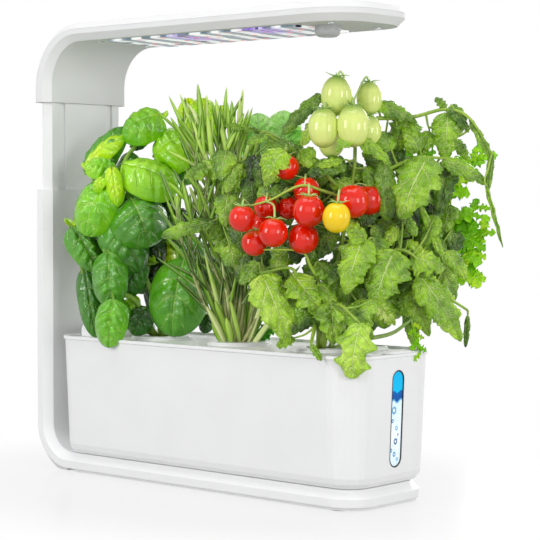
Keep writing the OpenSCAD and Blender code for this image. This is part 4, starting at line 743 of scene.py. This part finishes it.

# ---- tomato plant
# The lowest tones, about 14 to 24, are partly the leaves' own deep green and partly painted shade on leaves
# at the back of the plant.
tomato_leaves = leaf_rows(2, """
66 26 127 -10 -17 -40 28 52; 40 14 125 3 0 -40 14 36; 31 19 162 22 14 -12 12 42;
44 36 152 -6 -8 -21 21 52; 65 49 156 0 -3 -32 19 50; 67 48 125 -4 -6 -35 14 42;
63 50 159 -5 -5 7 7 40; 67 50 161 11 5 -18 9 36; 78 55 152 13 8 -27 6 42;
90 63 130 -1 -3 -26 5 40; 88 58 112 10 7 -44 3 45; 66 42 126 24 18 -16 13 44;
58 19 62 18 13 -7 20 60; 54 7 67 -7 -14 -37 27 56; 40 -8 75 -5 -12 -36 22 54;
42 -8 73 -10 -9 12 13 52; 62 23 51 25 13 -42 22 56; 86 43 25 -1 -1 -21 4 30;
53 25 40 12 6 -29 14 50; 46 27 38 8 4 -35 10 52; -15 -43 51 17 8 -45 24 64;
2 -32 51 16 8 -25 21 60; 58 -34 23 1 -10 -34 23 62; 34 -31 31 24 12 -10 16 50;
28 -26 34 6 -3 -26 19 60; 1 -29 10 -8 -9 -5 8 42; 33 -51 9 7 2 -10 5 46;
-22 -14 133 -11 -12 -11 14 60; -20 -15 124 -9 -11 -16 14 66; 2 -4 168 -23 -14 -26 12 30;
-1 -9 133 -7 -9 -13 10 52; 38 -12 144 -8 -12 -14 11 62; 32 -1 138 17 12 -16 10 56;
9 -16 121 13 9 4 8 60; 15 23 75 -13 -16 -42 26 24; 33 45 82 18 7 -49 30 24;
17 10 58 1 -8 -45 26 40; 34 21 39 3 -2 -24 26 50; -22 2 112 -17 -18 -17 23 22;
-5 14 119 -5 -7 -47 30 14; 11 25 115 7 4 -43 30 16; -67 -18 123 -20 -23 -8 18 50;
-70 -29 85 -23 -28 -10 13 42; -72 -19 84 9 0 -27 22 50; -59 -5 123 -7 -12 -20 16 56;
-58 6 145 -17 -20 5 6 34; 21 -3 125 -19 -19 -11 14 30; 29 15 35 15 7 -17 16 80;
49 17 81 -8 -8 -14 9 60; 54 21 73 9 5 -9 8 66; 57 31 95 14 10 -39 6 60; 52 19 90 8 4 -14 8 40;
13 -8 78 -5 -6 -17 13 34; 33 10 82 11 12 -13 12 36; -3 -19 75 10 6 -16 12 40;
-22 -30 138 16 14 -8 10 50; 9 -16 59 10 6 -13 13 40; 18 8 118 18 13 -7 10 50;
58 40 75 8 8 -16 13 30; 27 2 34 9 5 -14 13 62; -1 -4 151 -9 -7 -17 10 80; 40 1 75 13 6 -20 14 40;
67 38 41 9 5 -21 12 60; -7 -30 131 -10 -11 -19 17 66; -18 -34 141 -12 -8 -5 8 40;
-7 -19 108 -15 -16 -7 12 24; 9 -3 108 12 11 5 9 62; 42 19 131 -10 -4 14 13 50;
54 34 131 -11 -4 16 13 56; 27 11 120 14 9 -19 13 30; 64 37 89 -5 -6 -21 12 50;
69 44 66 11 7 -19 12 60; 38 15 59 -7 -9 -17 12 36; 13 -20 45 10 6 -14 13 44;
-6 -16 131 12 8 -14 12 50; 24 -8 59 -6 -8 -15 10 34; 32 15 99 -6 -8 -21 13 26;
51 26 73 -4 -9 -14 10 50; 66 55 139 8 5 -14 9 44; 54 44 144 -4 -5 -17 10 60;
4 -28 34 12 8 -19 13 30; 47 -28 25 14 5 -12 11 50; 41 28 101 12 8 -19 14 20;
-11 -34 43 -6 -7 -20 13 40; -4 -30 39 9 2 -21 14 50; 8 -22 37 -1 -9 -23 13 30;
18 -14 34 11 2 -18 13 44; 53 -15 36 -1 -14 -15 11 36; 49 24 37 9 3 -17 13 46;
-25 -35 58 -8 -10 -14 12 50""")
# Filler leaves inside the foliage. Their tones, given where they are grown, are partly their own deep green
# and partly painted shade for the dim inside of the plant.
inner_leaves = leaf_rows(2, """
-48 -24 64 -1 -3 -21 14; -39 -16 64 3 0 -21 14; -30 -8 44 2 -1 -21 15; -20 1 31 -4 -6 -21 15;
-5 14 27 -4 -6 -21 15; 6 24 26 -4 -6 -21 14; 16 33 31 0 -3 -21 17; 28 43 36 -3 -5 -21 14;
36 50 42 3 0 -21 17; 45 58 48 2 -1 -21 15; 51 63 64 7 3 -21 13; 56 67 79 5 2 -21 14;
55 67 96 -3 -5 -21 14; 49 62 108 -1 -4 -21 16; 41 55 117 -2 -5 -21 15; 31 46 128 3 0 -21 15;
21 37 134 2 -1 -21 13; -52 -27 124 -4 -6 -21 14; -45 -21 115 3 0 -22 15; -56 -31 103 -1 -3 -22 16;
-45 -21 100 1 -2 -21 14; -51 -26 84 5 1 -21 16; -57 -31 132 -2 -5 -21 16; -42 -18 129 1 -2 -21 17;
-55 -30 69 4 1 -21 14; -20 -7 136 2 -3 -16 16; 28 20 135 -1 1 -20 16; 39 32 134 -3 -7 -17 12;
-33 -20 127 -4 -2 -21 15; -18 -18 121 9 6 -14 14; -12 0 121 -7 -6 -15 15; -5 9 126 0 -4 -18 17;
12 12 124 7 -1 -15 16; 21 25 122 0 -5 -16 13; 25 32 127 -5 -1 -16 13; 34 43 126 9 9 -16 14;
-25 -27 108 -1 0 -19 13; -15 -15 112 -3 -10 -13 15; -13 2 110 5 -3 -22 16; 0 10 112 9 3 -17 14;
17 10 108 12 5 -17 16; 22 26 110 -9 -8 -10 14; 36 36 107 15 6 -16 14; 41 46 113 -4 -11 -17 16;
58 49 109 -7 -13 -14 16; -33 -19 97 9 2 -16 17; -18 -20 98 4 5 -16 13; -12 0 94 12 6 -18 14;
-5 9 100 13 8 -14 17; 12 9 94 -6 -6 -15 14; 20 23 99 -10 -10 -17 15; 30 32 94 11 7 -14 15;
35 41 97 -12 -11 -13 15; 51 52 96 3 -3 -19 13; -29 -17 85 9 4 -17 16; -13 -10 83 2 -2 -19 15;
-2 -6 83 9 1 -20 14; 8 4 80 -7 -7 -13 13; 15 14 86 7 7 -18 16; 29 22 86 13 4 -11 14;
38 31 79 -6 -8 -15 14; 46 40 85 -10 -11 -13 12; 55 52 82 -9 -14 -15 17; -38 -21 71 5 6 -16 15;
-21 -10 67 -8 -11 -18 16; -12 -10 73 2 -5 -16 15; 4 1 73 -10 -11 -16 14; 8 15 66 -9 -7 -15 13;
16 23 73 -2 -7 -17 14; 29 32 72 -11 -7 -12 16; 41 40 72 11 4 -12 14; 50 50 67 4 -5 -20 14;
-24 -19 54 -3 -1 -18 13; -21 -10 53 -4 -10 -13 17; -7 2 57 -6 -4 -18 15; 7 1 52 5 -3 -17 14;
13 17 59 -1 0 -19 15; 19 28 57 -4 -1 -16 14; 34 33 55 9 3 -18 16; 49 38 57 -7 -10 -16 13;
59 53 53 6 7 -20 15; -19 -14 39 12 6 -15 14; -15 -7 44 -9 -11 -16 15; 0 4 40 -10 -14 -13 15;
6 18 40 5 5 -16 14; 24 20 44 11 9 -12 15; 33 30 40 2 4 -16 14; 43 40 43 -9 -8 -10 16;
51 52 40 1 -1 -19 13; -20 -23 30 9 7 -11 16; -16 -5 28 -8 -7 -19 15; -4 -8 28 -8 -10 -17 17;
9 5 30 -1 1 -16 15; 11 21 29 0 -7 -17 13""")
tomato_stems = stem_lines(2, """
0 0 1, 6 0 33, 10 6 66, 17 7 99, 22 6 125, 23 4 152, 24 2 163; 23 4 152, 30 16 152, 46 35 153,
64 48 158, 78 55 152, 90 63 129; 17 7 99, 39 16 117, 57 26 126, 68 43 126; 6 0 33, 36 7 59,
54 13 67, 62 23 59, 67 29 44, 86 43 28; 8 2 46, 29 -7 60, 42 -9 75; 0 -4 1, 6 -13 22, 3 -26 44,
0 -32 55, -15 -43 52; 4 -4 1, 23 -20 21, 37 -29 33, 57 -35 24; 17 7 99, 6 -8 118, -11 -10 131,
-21 -16 138, -54 1 144, -56 -8 126, -65 -21 121, -67 -26 89; 23 4 152, 8 2 160, 1 -2 168;
6 -13 22, 27 -43 11, 34 -52 9""")
trusses = stem_lines(2, """
17 7 99, 15 -19 105, 6 -30 108, -11 -39 99, -21 -48 95; 17 7 99, 31 -8 108, 30 -19 101; 6 0 33,
10 -23 55, 7 -31 66, -13 -46 67; 23 4 152, 27 -3 160, 21 -8 158""")
LOBED = 22  # this leaf has deep lobes and short teeth
OUTER, COMPOUND = 46, 16  # of so many first leaves, those at least so wide have side leaflets
tomato = Grown()
tomato_spots = spots_of(tomato_stems + trusses)
tubes(tomato, tomato_stems[:1], 2.0, 0.8, sides=10, ribs=0.05)
tubes(tomato, tomato_stems[1:], 1.5, 0.8, sides=10, ribs=0.05)
tubes(tomato, trusses, 1.1, 0.6, tone=0.7)
for i, (foot, tip, width, tone) in enumerate(tomato_leaves):
    long = np.linalg.norm(tip - foot) / MM
    slim = width < 9 or long > 2.8 * width
    deep = i == LOBED
    broad = width > BROAD
    leaf(tomato, foot, tip, width * (1.05 if slim else 1.2) * MM, "oval" if slim or deep else "heart",
         tone / 100, 200 + i, nu=30 if slim else 46, arch=0.45, cup=0.3, quilt=1.9 if broad else 0.7,
         teeth=0.1 if deep else 0.3, teeth_n=max(5, int(long / 4)),
         lobes=0.62 if deep else 0.24 if broad else 0.08, lobe_n=2.6 if deep else 3,
         ruffle=2.4 if broad else 1.0, ruffle_n=3.5, curl=0.25, twist=(0.4, -0.35, 0.2, -0.5, 0.0)[i % 5],
         crease=0.7, slope=0.36)
    petiole(tomato, foot, tip, tomato_spots, 0.8)
for i, (foot, tip, width) in enumerate(inner_leaves):
    leaf(tomato, foot, tip, width * 1.1 * MM, "heart", (0.26, 0.42, 0.2, 0.52, 0.33, 0.38, 0.28)[i % 7],
         800 + i, nu=18, nv=4, cup=0.3, teeth=0.24, teeth_n=6, lobes=0.15, ruffle=1.5, ruffle_n=2,
         curl=0.2, twist=(0.5, -0.4, 0.0)[i % 3], crease=0.5)
    petiole(tomato, foot, tip, tomato_spots, 0.7)
# small side leaflets on the petioles, as a tomato's compound leaf has
for i, (foot, tip, width, tone) in enumerate(tomato_leaves[:OUTER]):
    if width < COMPOUND:
        continue
    d = tip - foot
    for sign in (-1, 1):
        root = foot + d * 0.02
        end = root + unit(np.cross(d, TO_VIEW)) * sign * width * 0.30 * MM + d * 0.10
        leaf(tomato, root, end, width * 0.22 * MM, "heart", tone / 100 - 0.08, 300 + 2 * i + sign, nu=16,
             nv=6, teeth=0.25, teeth_n=4, quilt=0.3, ruffle=0.4, crease=0.3)

# ---- fruit, each written as the x y z of its middle and its size in hundredths
red_fruit = """
19 -37 92 100; 37 -15 98 105; -2 -47 78 92; -18 -59 87 84; -19 -46 71 82; 8 -29 74 96;
30 11 99 96; -9 -26 120 80; -19 -35 94 75; -11 -21 94 75; 4 -21 105 84; -29 -27 83 75"""
green_fruit = """
18 -8 166 100; 18 -21 145 100; 9 -2 138 90; 35 -12 146 105; 28 12 143 90; 27 15 165 85"""
DIMPLE = 0.9 * MM
FRUIT_RINGS, FRUIT_SIDES = 25, 36


def fruit(grown, middle, width, length, seed, lean, below_top, blush=0.0):
    """A fruit hung by its top: skin dimpled at the stalk, five sepals and a jointed stalk."""
    rng = np.random.default_rng(seed)
    up = unit(np.array(lean, float))
    a = unit(np.cross(up, (0.3, 1, 0.1)))
    b = np.cross(up, a)
    phi = np.linspace(0, np.pi, FRUIT_RINGS)[:, None]
    ang = np.linspace(0, TURN, FRUIT_SIDES, endpoint=False)[None, :]
    lobe = 1 + 0.012 * np.cos(3 * ang + rng.uniform(0, 6)) * np.sin(phi)
    r = width / 2 * np.sin(phi) ** 0.94 * lobe
    h = length / 2 * np.cos(phi) - DIMPLE * np.exp(-(phi / 0.28) ** 2) * np.ones_like(ang)
    round_it = np.cos(ang)[..., None] * a + np.sin(ang)[..., None] * b
    rows = middle + r[..., None] * round_it + h[..., None] * up
    uv = np.stack(np.broadcast_arrays(ang / TURN, phi / np.pi), axis=-1)
    tone = np.clip(1.1 - phi / np.pi * 2.6, 0, 1) + blush + np.zeros((FRUIT_RINGS, FRUIT_SIDES))
    # Painted shade: long fruit also take the darker shoulder colour towards their lower end, standing for
    # their darker edges.
    if length > width * 1.15:
        tone = tone + np.clip(phi / np.pi * 2.4 - 1.7, 0, 1) * 0.8
    grown.sheet(rows, uv, tone, SKIN, caps=False)
    top = middle + up * (length / 2 - DIMPLE)
    for k in range(5):
        w = k * TURN / 5 + rng.uniform(-0.2, 0.2)
        out = math.cos(w) * a + math.sin(w) * b
        tip = top + out * width * rng.uniform(0.36, 0.46) + up * width * rng.uniform(-0.02, 0.16)
        knee = top + out * width * 0.2 + up * 1.2 * MM
        tube(stalks, smooth_line([top, knee, tip], 5), 0.8, 0.12, SKIN, sides=6)
    hold = nearest(middle + np.array((0, 0, below_top)), fruit_spots)
    joint = top + up * 0.35 * np.linalg.norm(hold - top) + (hold - top) * 0.25
    tube(stalks, smooth_line([top, joint, hold]), 0.75, 0.6, SKIN, 0.6)


reds, yellows, greens, stalks = Grown(), Grown(), Grown(), Grown()
fruit_spots = spots_of(trusses + tomato_stems)
RED_LEANS = (0.1, -0.1, 1), (-0.15, 0.1, 1), (0.05, 0.12, 1)
GREEN_LEANS = (0.05, 0, 1), (-0.1, 0.1, 1)
RED_BLUSH = {2: 0.15, 4: 0.55}
for i, row in enumerate(red_fruit.split(";")):
    *middle, size = numbers(row)
    wide = 20.5 * (size / 100) * MM
    fruit(reds, at(2, middle), wide, wide, 400 + i, RED_LEANS[i % 3], wide / 2, RED_BLUSH.get(i, 0.0))
fruit(yellows, at(2, (41, -36, 88)), 17.6 * MM, 19.5 * MM, 430, (0.1, 0, 1), 0.010)
for i, row in enumerate(green_fruit.split(";")):
    *middle, size = numbers(row)
    size /= 100
    fruit(greens, at(2, middle), 20 * size * MM, 26 * size * MM, 450 + i, GREEN_LEANS[i % 2], 0.012)
plant_piece("ripe_tomatoes", reds, [red_skin], "tomatoes_red")
plant_piece("yellow_tomato", yellows, [yellow_skin], "tomato_yellow")
plant_piece("unripe_tomatoes", greens, [green_skin], "tomatoes_green")
plant_piece("tomato_foliage", tomato, [tomato_skin, tomato_stem], "tomato_plant")
fruit_stalks = stalks.mesh("fruit_stalks", [pale_stem])
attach(fruit_stalks, "deck")

# ---- rosemary
rosemary_stems = stem_lines(1, """
-7 -2 1, -8 -15 31, -22 -25 65, -19 -22 119, -35 -31 169; -5 -4 1, -3 -13 37, -12 -21 71,
-13 -19 119, -29 -28 170; -3 -5 1, 0 -11 37, -9 -16 78, -12 -14 122, -22 -17 177; -1 -3 1,
2 -7 37, -6 -11 78, -12 -10 122, -11 -1 176; 1 -5 1, 6 -5 37, -1 -6 78, -4 -6 122, -5 -2 167;
3 -4 1, 7 -2 37, 2 -1 78, -3 0 123, -1 7 174; 4 -2 1, 8 2 37, 13 9 71, 9 13 99, -2 9 158; 5 0 1,
12 5 31, 21 10 57, 24 15 71; 6 -3 1, 17 4 24, 27 10 41; -7 1 1, -10 -20 24, -19 -27 51,
-26 -31 75, -30 -34 109""")
rosemary_blades = leaf_rows(1, """
-5 -7 0 -9 -21 57 3; -2 -7 0 -6 -19 65 3; -4 -4 0 -5 -12 52 3; 1 -7 0 -4 -14 31 4;
1 -4 0 -3 -11 57 3; 1 -2 0 -1 -6 65 4; 5 -4 0 0 -10 31 3; 5 -1 0 4 -2 57 3; 5 1 0 7 5 52 3;
8 -1 0 12 2 31 3; 7 1 0 13 9 40 3; 7 4 0 1 3 44 3; -8 -2 0 -19 -19 74 3; -4 -11 1 -1 -9 18 5;
-1 -12 1 -5 -14 26 4; 0 2 -1 2 -3 71 3; -7 2 0 -13 -14 85 3; 2 7 -1 20 15 57 3; 2 -9 0 1 -7 19 4;
11 1 0 13 6 19 4""")
rosemary_tips = leaf_rows(1, """
-15 -18 119 -21 -14 51 3; -14 -18 126 -15 -10 45 3; -14 -20 132 -6 0 46 4; -11 -17 122 -9 -9 31 3;
-8 -18 126 -3 -2 31 4; -9 -8 126 0 5 50 3; -3 -6 122 -9 -5 46 4; -4 -3 126 -1 1 41 4;
-3 0 126 2 5 49 3; -5 -12 126 9 13 32 3; -17 -20 132 -11 -10 18 3; -2 1 126 5 7 32 3;
-9 -11 133 -2 -4 13 3; 2 -1 119 4 6 23 3; -18 -24 122 -13 -14 10 3; -16 -24 92 -14 -16 19 3;
-14 -22 105 -5 -10 14 4; -18 -26 78 -3 -8 34 4; -16 -20 88 -4 -8 20 3; -12 -18 71 -2 -8 28 3;
-19 -27 95 -10 -12 16 3; -3 -10 112 -7 -10 20 3; -11 -13 112 -12 -15 22 3; -1 2 99 10 6 27 3;
-22 -30 77 -5 -7 12 3""")
rosemary = Grown()


NEEDLES_FROM = 0.026  # metres along a stem
NEEDLE_STEP = (0.0085, 0.012)
NEEDLE_REACH = (0.019, 0.031)
NEEDLE_WIDTH = (2.2, 3.1)
NEEDLE_TURN = 1.9  # radians from one pair to the next


def needle(foot, tip, width, tone, seed, nu=12, arch=0.9):
    """A narrow leaf with rolled-under edges."""
    leaf(rosemary, foot, tip, width * MM, "needle", tone, seed, nu=nu, nv=2, arch=arch, cup=0.7, crease=0.2,
         thick=0.6)


for k, line in enumerate(rosemary_stems):
    line = [*line[:-1], line[-2] + 0.5 * (line[-1] - line[-2])]
    pts = smooth_line(line, 8)
    tube(rosemary, pts, 1.4, 0.7, ribs=0.1)
    length = np.concatenate([[0], np.cumsum(np.linalg.norm(np.diff(pts, axis=0), axis=1))])
    end = length[-1]

    def on_stem(distance):
        return np.array([np.interp(distance, length, pts[:, c]) for c in range(3)])

    rng = np.random.default_rng(500 + k)
    place_at = NEEDLES_FROM
    i = 0
    while place_at < end:
        share = place_at / end
        foot = on_stem(place_at)
        axis = unit(on_stem(min(place_at + 0.004, end)) - foot + np.array((0, 0, 1e-5)))
        u1 = unit(np.cross(axis, (0.2, 0.9, 0.1)))
        u2 = np.cross(axis, u1)
        for sign in (0, 1):
            w = i * NEEDLE_TURN + sign * math.pi + rng.uniform(-0.3, 0.3)
            out = math.cos(w) * u1 + math.sin(w) * u2
            reach = rng.uniform(*NEEDLE_REACH)
            open_by = rng.uniform(0.3, 0.75) * (0.7 if share > 0.85 else 1.0)
            width = rng.uniform(*NEEDLE_WIDTH)
            tone = 0.16 + 0.55 * share * rng.uniform(0.5, 1.25) + 0.16 * (k % 3 - 1)
            needle(foot, foot + axis * reach + out * reach * open_by, width, tone,
                   1000 + 97 * k + 2 * i + sign)
        place_at += rng.uniform(*NEEDLE_STEP)
        i += 1
    for sign in range(2):
        w = sign * 3.1 + k
        out = np.array((math.cos(w) * 0.003, math.sin(w) * 0.003, 0.011))
        needle(pts[-1], pts[-1] + out, 2.4, 0.7, 1900 + 3 * k + sign)
for i, (foot, tip, width) in enumerate(rosemary_blades):
    needle(foot, tip, width + 0.8, (0.5, 0.84, 0.4, 0.66, 1.0)[i % 5], 2000 + i, 20,
           (1.4, -1.0, 2.0, 0.6)[i % 4])
rosemary_spots = spots_of(rosemary_stems)
for i, (foot, tip, width) in enumerate(rosemary_tips):
    hold = nearest(foot, rosemary_spots)
    points = [hold, (hold + foot) / 2, foot, foot + unit(tip - foot) * 0.002]
    tube(rosemary, smooth_line(points, 3), 0.8, 0.7, sides=6)
    needle(foot, tip, width + 0.1, (0.6, 0.8, 0.5, 0.9, 0.7)[i % 5], 2100 + i, 18, (1.0, -0.8, 1.6)[i % 3])
plant_piece("rosemary_sprigs", rosemary, [needle_skin, woody_stem], "rosemary_plant")

# ---- sage
sage_leaves = leaf_rows(1, """
-12 37 122 -4 0 38 24; -3 48 123 0 2 39 24; -17 30 134 -6 -5 16 14; 4 9 0 10 14 15 10""")
sage_stems = stem_lines(1, """
2 7 1, -4 15 29, -5 30 78, -11 41 123; 6 6 1, -2 33 71, -4 50 123""")
sage = Grown()
tubes(sage, sage_stems, 1.8, 1.0)
for i, (foot, tip, width) in enumerate(sage_leaves):
    leaf(sage, foot, tip, width * 1.18 * MM, "oval", (0.72, 0.6, 0.5, 0.2)[i], 600 + i, nu=56, nv=14,
         arch=0.4, quilt=1.8, pairs=9, teeth=0.10, teeth_n=14, ruffle=2.0, ruffle_n=5, curl=0.1,
         crease=0.8, thick=0.5)
    petiole(sage, foot, tip, spots_of(sage_stems), 0.9)
plant_piece("sage_foliage", sage, [sage_skin, pale_stem], "sage_plant")

# ---- lettuce
lettuce_leaves = leaf_rows(2, """
35 65 57 28 30 22 13; 35 65 72 25 27 23 13; 36 63 53 25 28 14 15; 37 62 48 23 25 4 15;
33 66 92 28 30 39 16; 27 61 101 5 7 38 13; 24 48 35 23 25 49 29; 23 58 72 17 17 40 20;
57 21 22 9 -2 -21 7""")
lettuce_stems = stem_lines(2, """
2 6 1, 1 30 32, 18 56 57, 33 66 72, 32 68 93, 26 63 101; 6 4 1, 22 12 7, 42 19 12, 55 20 20""")
FRILL_STEP = 4.2  # millimetres between the frills along a leaf
lettuce = Grown()
tubes(lettuce, lettuce_stems, 1.8, 1.0)
for i, (foot, tip, width) in enumerate(lettuce_leaves):
    tone = (0.62, 0.68, 0.74, 0.7, 0.66, 0.6, 0.45, 0.6, 0.72)[i]
    d = tip - foot
    long = np.linalg.norm(d) / MM
    leaf(lettuce, foot, tip, width * 0.5 * MM, "frill", tone, 700 + i, nu=40, nv=6, arch=0.3, cup=0.1,
         quilt=0.6, pairs=6, teeth=0.4, teeth_n=max(7, int(long / 4)), lobes=0.3, lobe_n=5, ruffle=1.6,
         ruffle_n=6, curl=0.1, crease=0.5)
    across = unit(np.cross(d, TO_VIEW))
    rng = np.random.default_rng(720 + i)
    count = max(6, int(long / FRILL_STEP))
    for k in range(count):
        share = 0.12 + 0.86 * k / (count - 1)
        root = foot + d * share
        size = width * MM * (0.98 - 0.4 * abs(share - 0.5)) * rng.uniform(0.8, 1.3)
        out = across * (1 if k % 2 else -1) * rng.uniform(0.7, 1.0)
        out = out + unit(d) * rng.uniform(0.5, 1.0) + TO_VIEW * rng.uniform(-0.5, 0.5)
        leaf(lettuce, root, root + unit(out) * size, size * rng.uniform(0.6, 0.85), "oval",
             tone + rng.uniform(-0.2, 0.2), 740 + 30 * i + k, nu=26, nv=5, arch=0.3, cup=0.1, teeth=0.75,
             teeth_n=5, lobes=0.6, lobe_n=2.5, ruffle=1.8, ruffle_n=3, curl=0.1, crease=0.3)
    petiole(lettuce, foot, tip, spots_of(lettuce_stems), 0.9)
plant_piece("lettuce_leaves", lettuce, [lettuce_skin, pale_stem], "lettuce_plant")


# ---------------------------------------------------------------- sponges
PIT = 0.5 * MM
SPONGE_SIDES = 48


def sponge(name, node):
    """A growing sponge: a tapered plug with a soft rim, a pitted skin and a planting hole."""
    low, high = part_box(node)
    mid = (low + high) / 2
    radius, height = (high.x - low.x) / 2, high.z - low.z
    profile = [(0.0, 0.02), (0.55, 0.0), (0.8, 0.0), (0.86, 0.03)]
    profile += [(0.87 + 0.10 * u, 0.06 + 0.86 * u) for u in np.linspace(0, 1, 16)]
    profile += [(0.95, 0.97), (0.88, 1.0), (0.6, 0.995), (0.3, 0.985), (0.16, 0.95), (0.12, 0.8),
                (0.0, 0.79)]
    rows = []
    for share, h in profile:
        ring = []
        for j in range(SPONGE_SIDES):
            x, y = math.cos(TURN * j / SPONGE_SIDES), math.sin(TURN * j / SPONGE_SIDES)
            r, z = share * radius, low.z + h * height
            pores = noise.noise(Vector((mid.x + x * r, mid.y + y * r, z)) * 900)
            pit = max(0.0, pores - 0.1) * PIT if share > 0.05 else 0.0
            z -= pit if h > 0.9 else 0.0
            ring.append((mid.x + x * (r - pit), mid.y + y * (r - pit), min(max(z, low.z), high.z)))
        rows.append(ring)
    plug = Grown()
    plug.sheet(np.array(rows), np.zeros((len(rows), SPONGE_SIDES, 2)), 0.5, SKIN, caps=False)
    plant_piece(name, plug, [finishes["sponge"]], node)


for number in (1, 2, 3):
    sponge("grow_sponge_%d" % number, "sponge_%d" % number)

# ---------------------------------------------------------------- finishes of the CAD nodes
MATTE_NODES = ("arm_cover", "arm_shell", "slider_socket")
for part in frame["record"]["subparts"]:
    slot = "white_matte" if part["node"] in MATTE_NODES else part["material_slot"]
    if slot in finishes:
        skins = frame["nodes"][part["node"]].data.materials
        skins.clear()
        skins.append(finishes[slot])

# ---------------------------------------------------------------- floor, lights, world
WHITE = (1, 1, 1)
FLOOR_REACH = 12.0
WORLD_LIGHT = 0.31
LIT_MIDDLE = (0.02, 0.0, 0.16)


def stage_floor():
    """A pale floor that fades to plain white away from the stand."""
    data = bpy.data.meshes.new("floor")
    n = material("floor")
    x, y, _ = n.split(n.place())
    far = n.math("SQRT", (x - 0.01) ** 2.0 + y ** 2.0 * 1.6)
    speck = n.noise(300)
    grey = n.mix(speck, (0.34, 0.34, 0.34), (0.38, 0.38, 0.38))
    gloss = n.step(speck, 0.2, 0.8, 0.16, 0.22)
    near = n.add("BsdfPrincipled", {"Base Color": grey, "Roughness": gloss, "IOR": 1.45})
    white = n.add("Emission", {"Color": WHITE, "Strength": 1.0})
    n.either(n.step(far, 0.16, 0.31, 0.80, 1.0) * n.seen(), near, white)
    corners = [(-1, -1), (1, -1), (1, 1), (-1, 1)]
    data.from_pydata([(x * FLOOR_REACH, y * FLOOR_REACH, 0) for x, y in corners], [], [(0, 1, 2, 3)])
    data.materials.append(n.owner)
    add_object("floor", data)


def studio_world():
    """White where it is seen, and dimmer as a light."""
    scene.world = bpy.data.worlds.new("studio")
    n = Nodes(scene.world, "OutputWorld")
    lit = n.add("Background", {"Color": WHITE, "Strength": WORLD_LIGHT})
    seen = n.add("Background", {"Color": WHITE, "Strength": 1.0})
    n.either(n.seen(), lit, seen)


stage_floor()
studio_world()
for name, place, width, height, power in (
        ("left_box", (-0.30, -1.45, 0.56), 0.42, 0.72, 10.4),
        ("right_box", (1.45, -0.34, 0.38), 0.42, 0.6, 6),
        ("side_box", (1.3, 0.75, 0.36), 0.4, 0.6, 4.2),
        ("back_box", (-0.35, 1.5, 0.6), 0.9, 0.8, 11),
        ("key_box", (1.05, -1.2, 0.45), 1.1, 0.9, 3),
        ("top_box", (0.1, -0.2, 1.7), 1.4, 1.0, 12.6)):
    light = bpy.data.lights.new(name, "AREA")
    light.shape = "RECTANGLE"
    light.size, light.size_y = width, height
    light.energy = power
    add_aimed(name, light, place, LIT_MIDDLE)
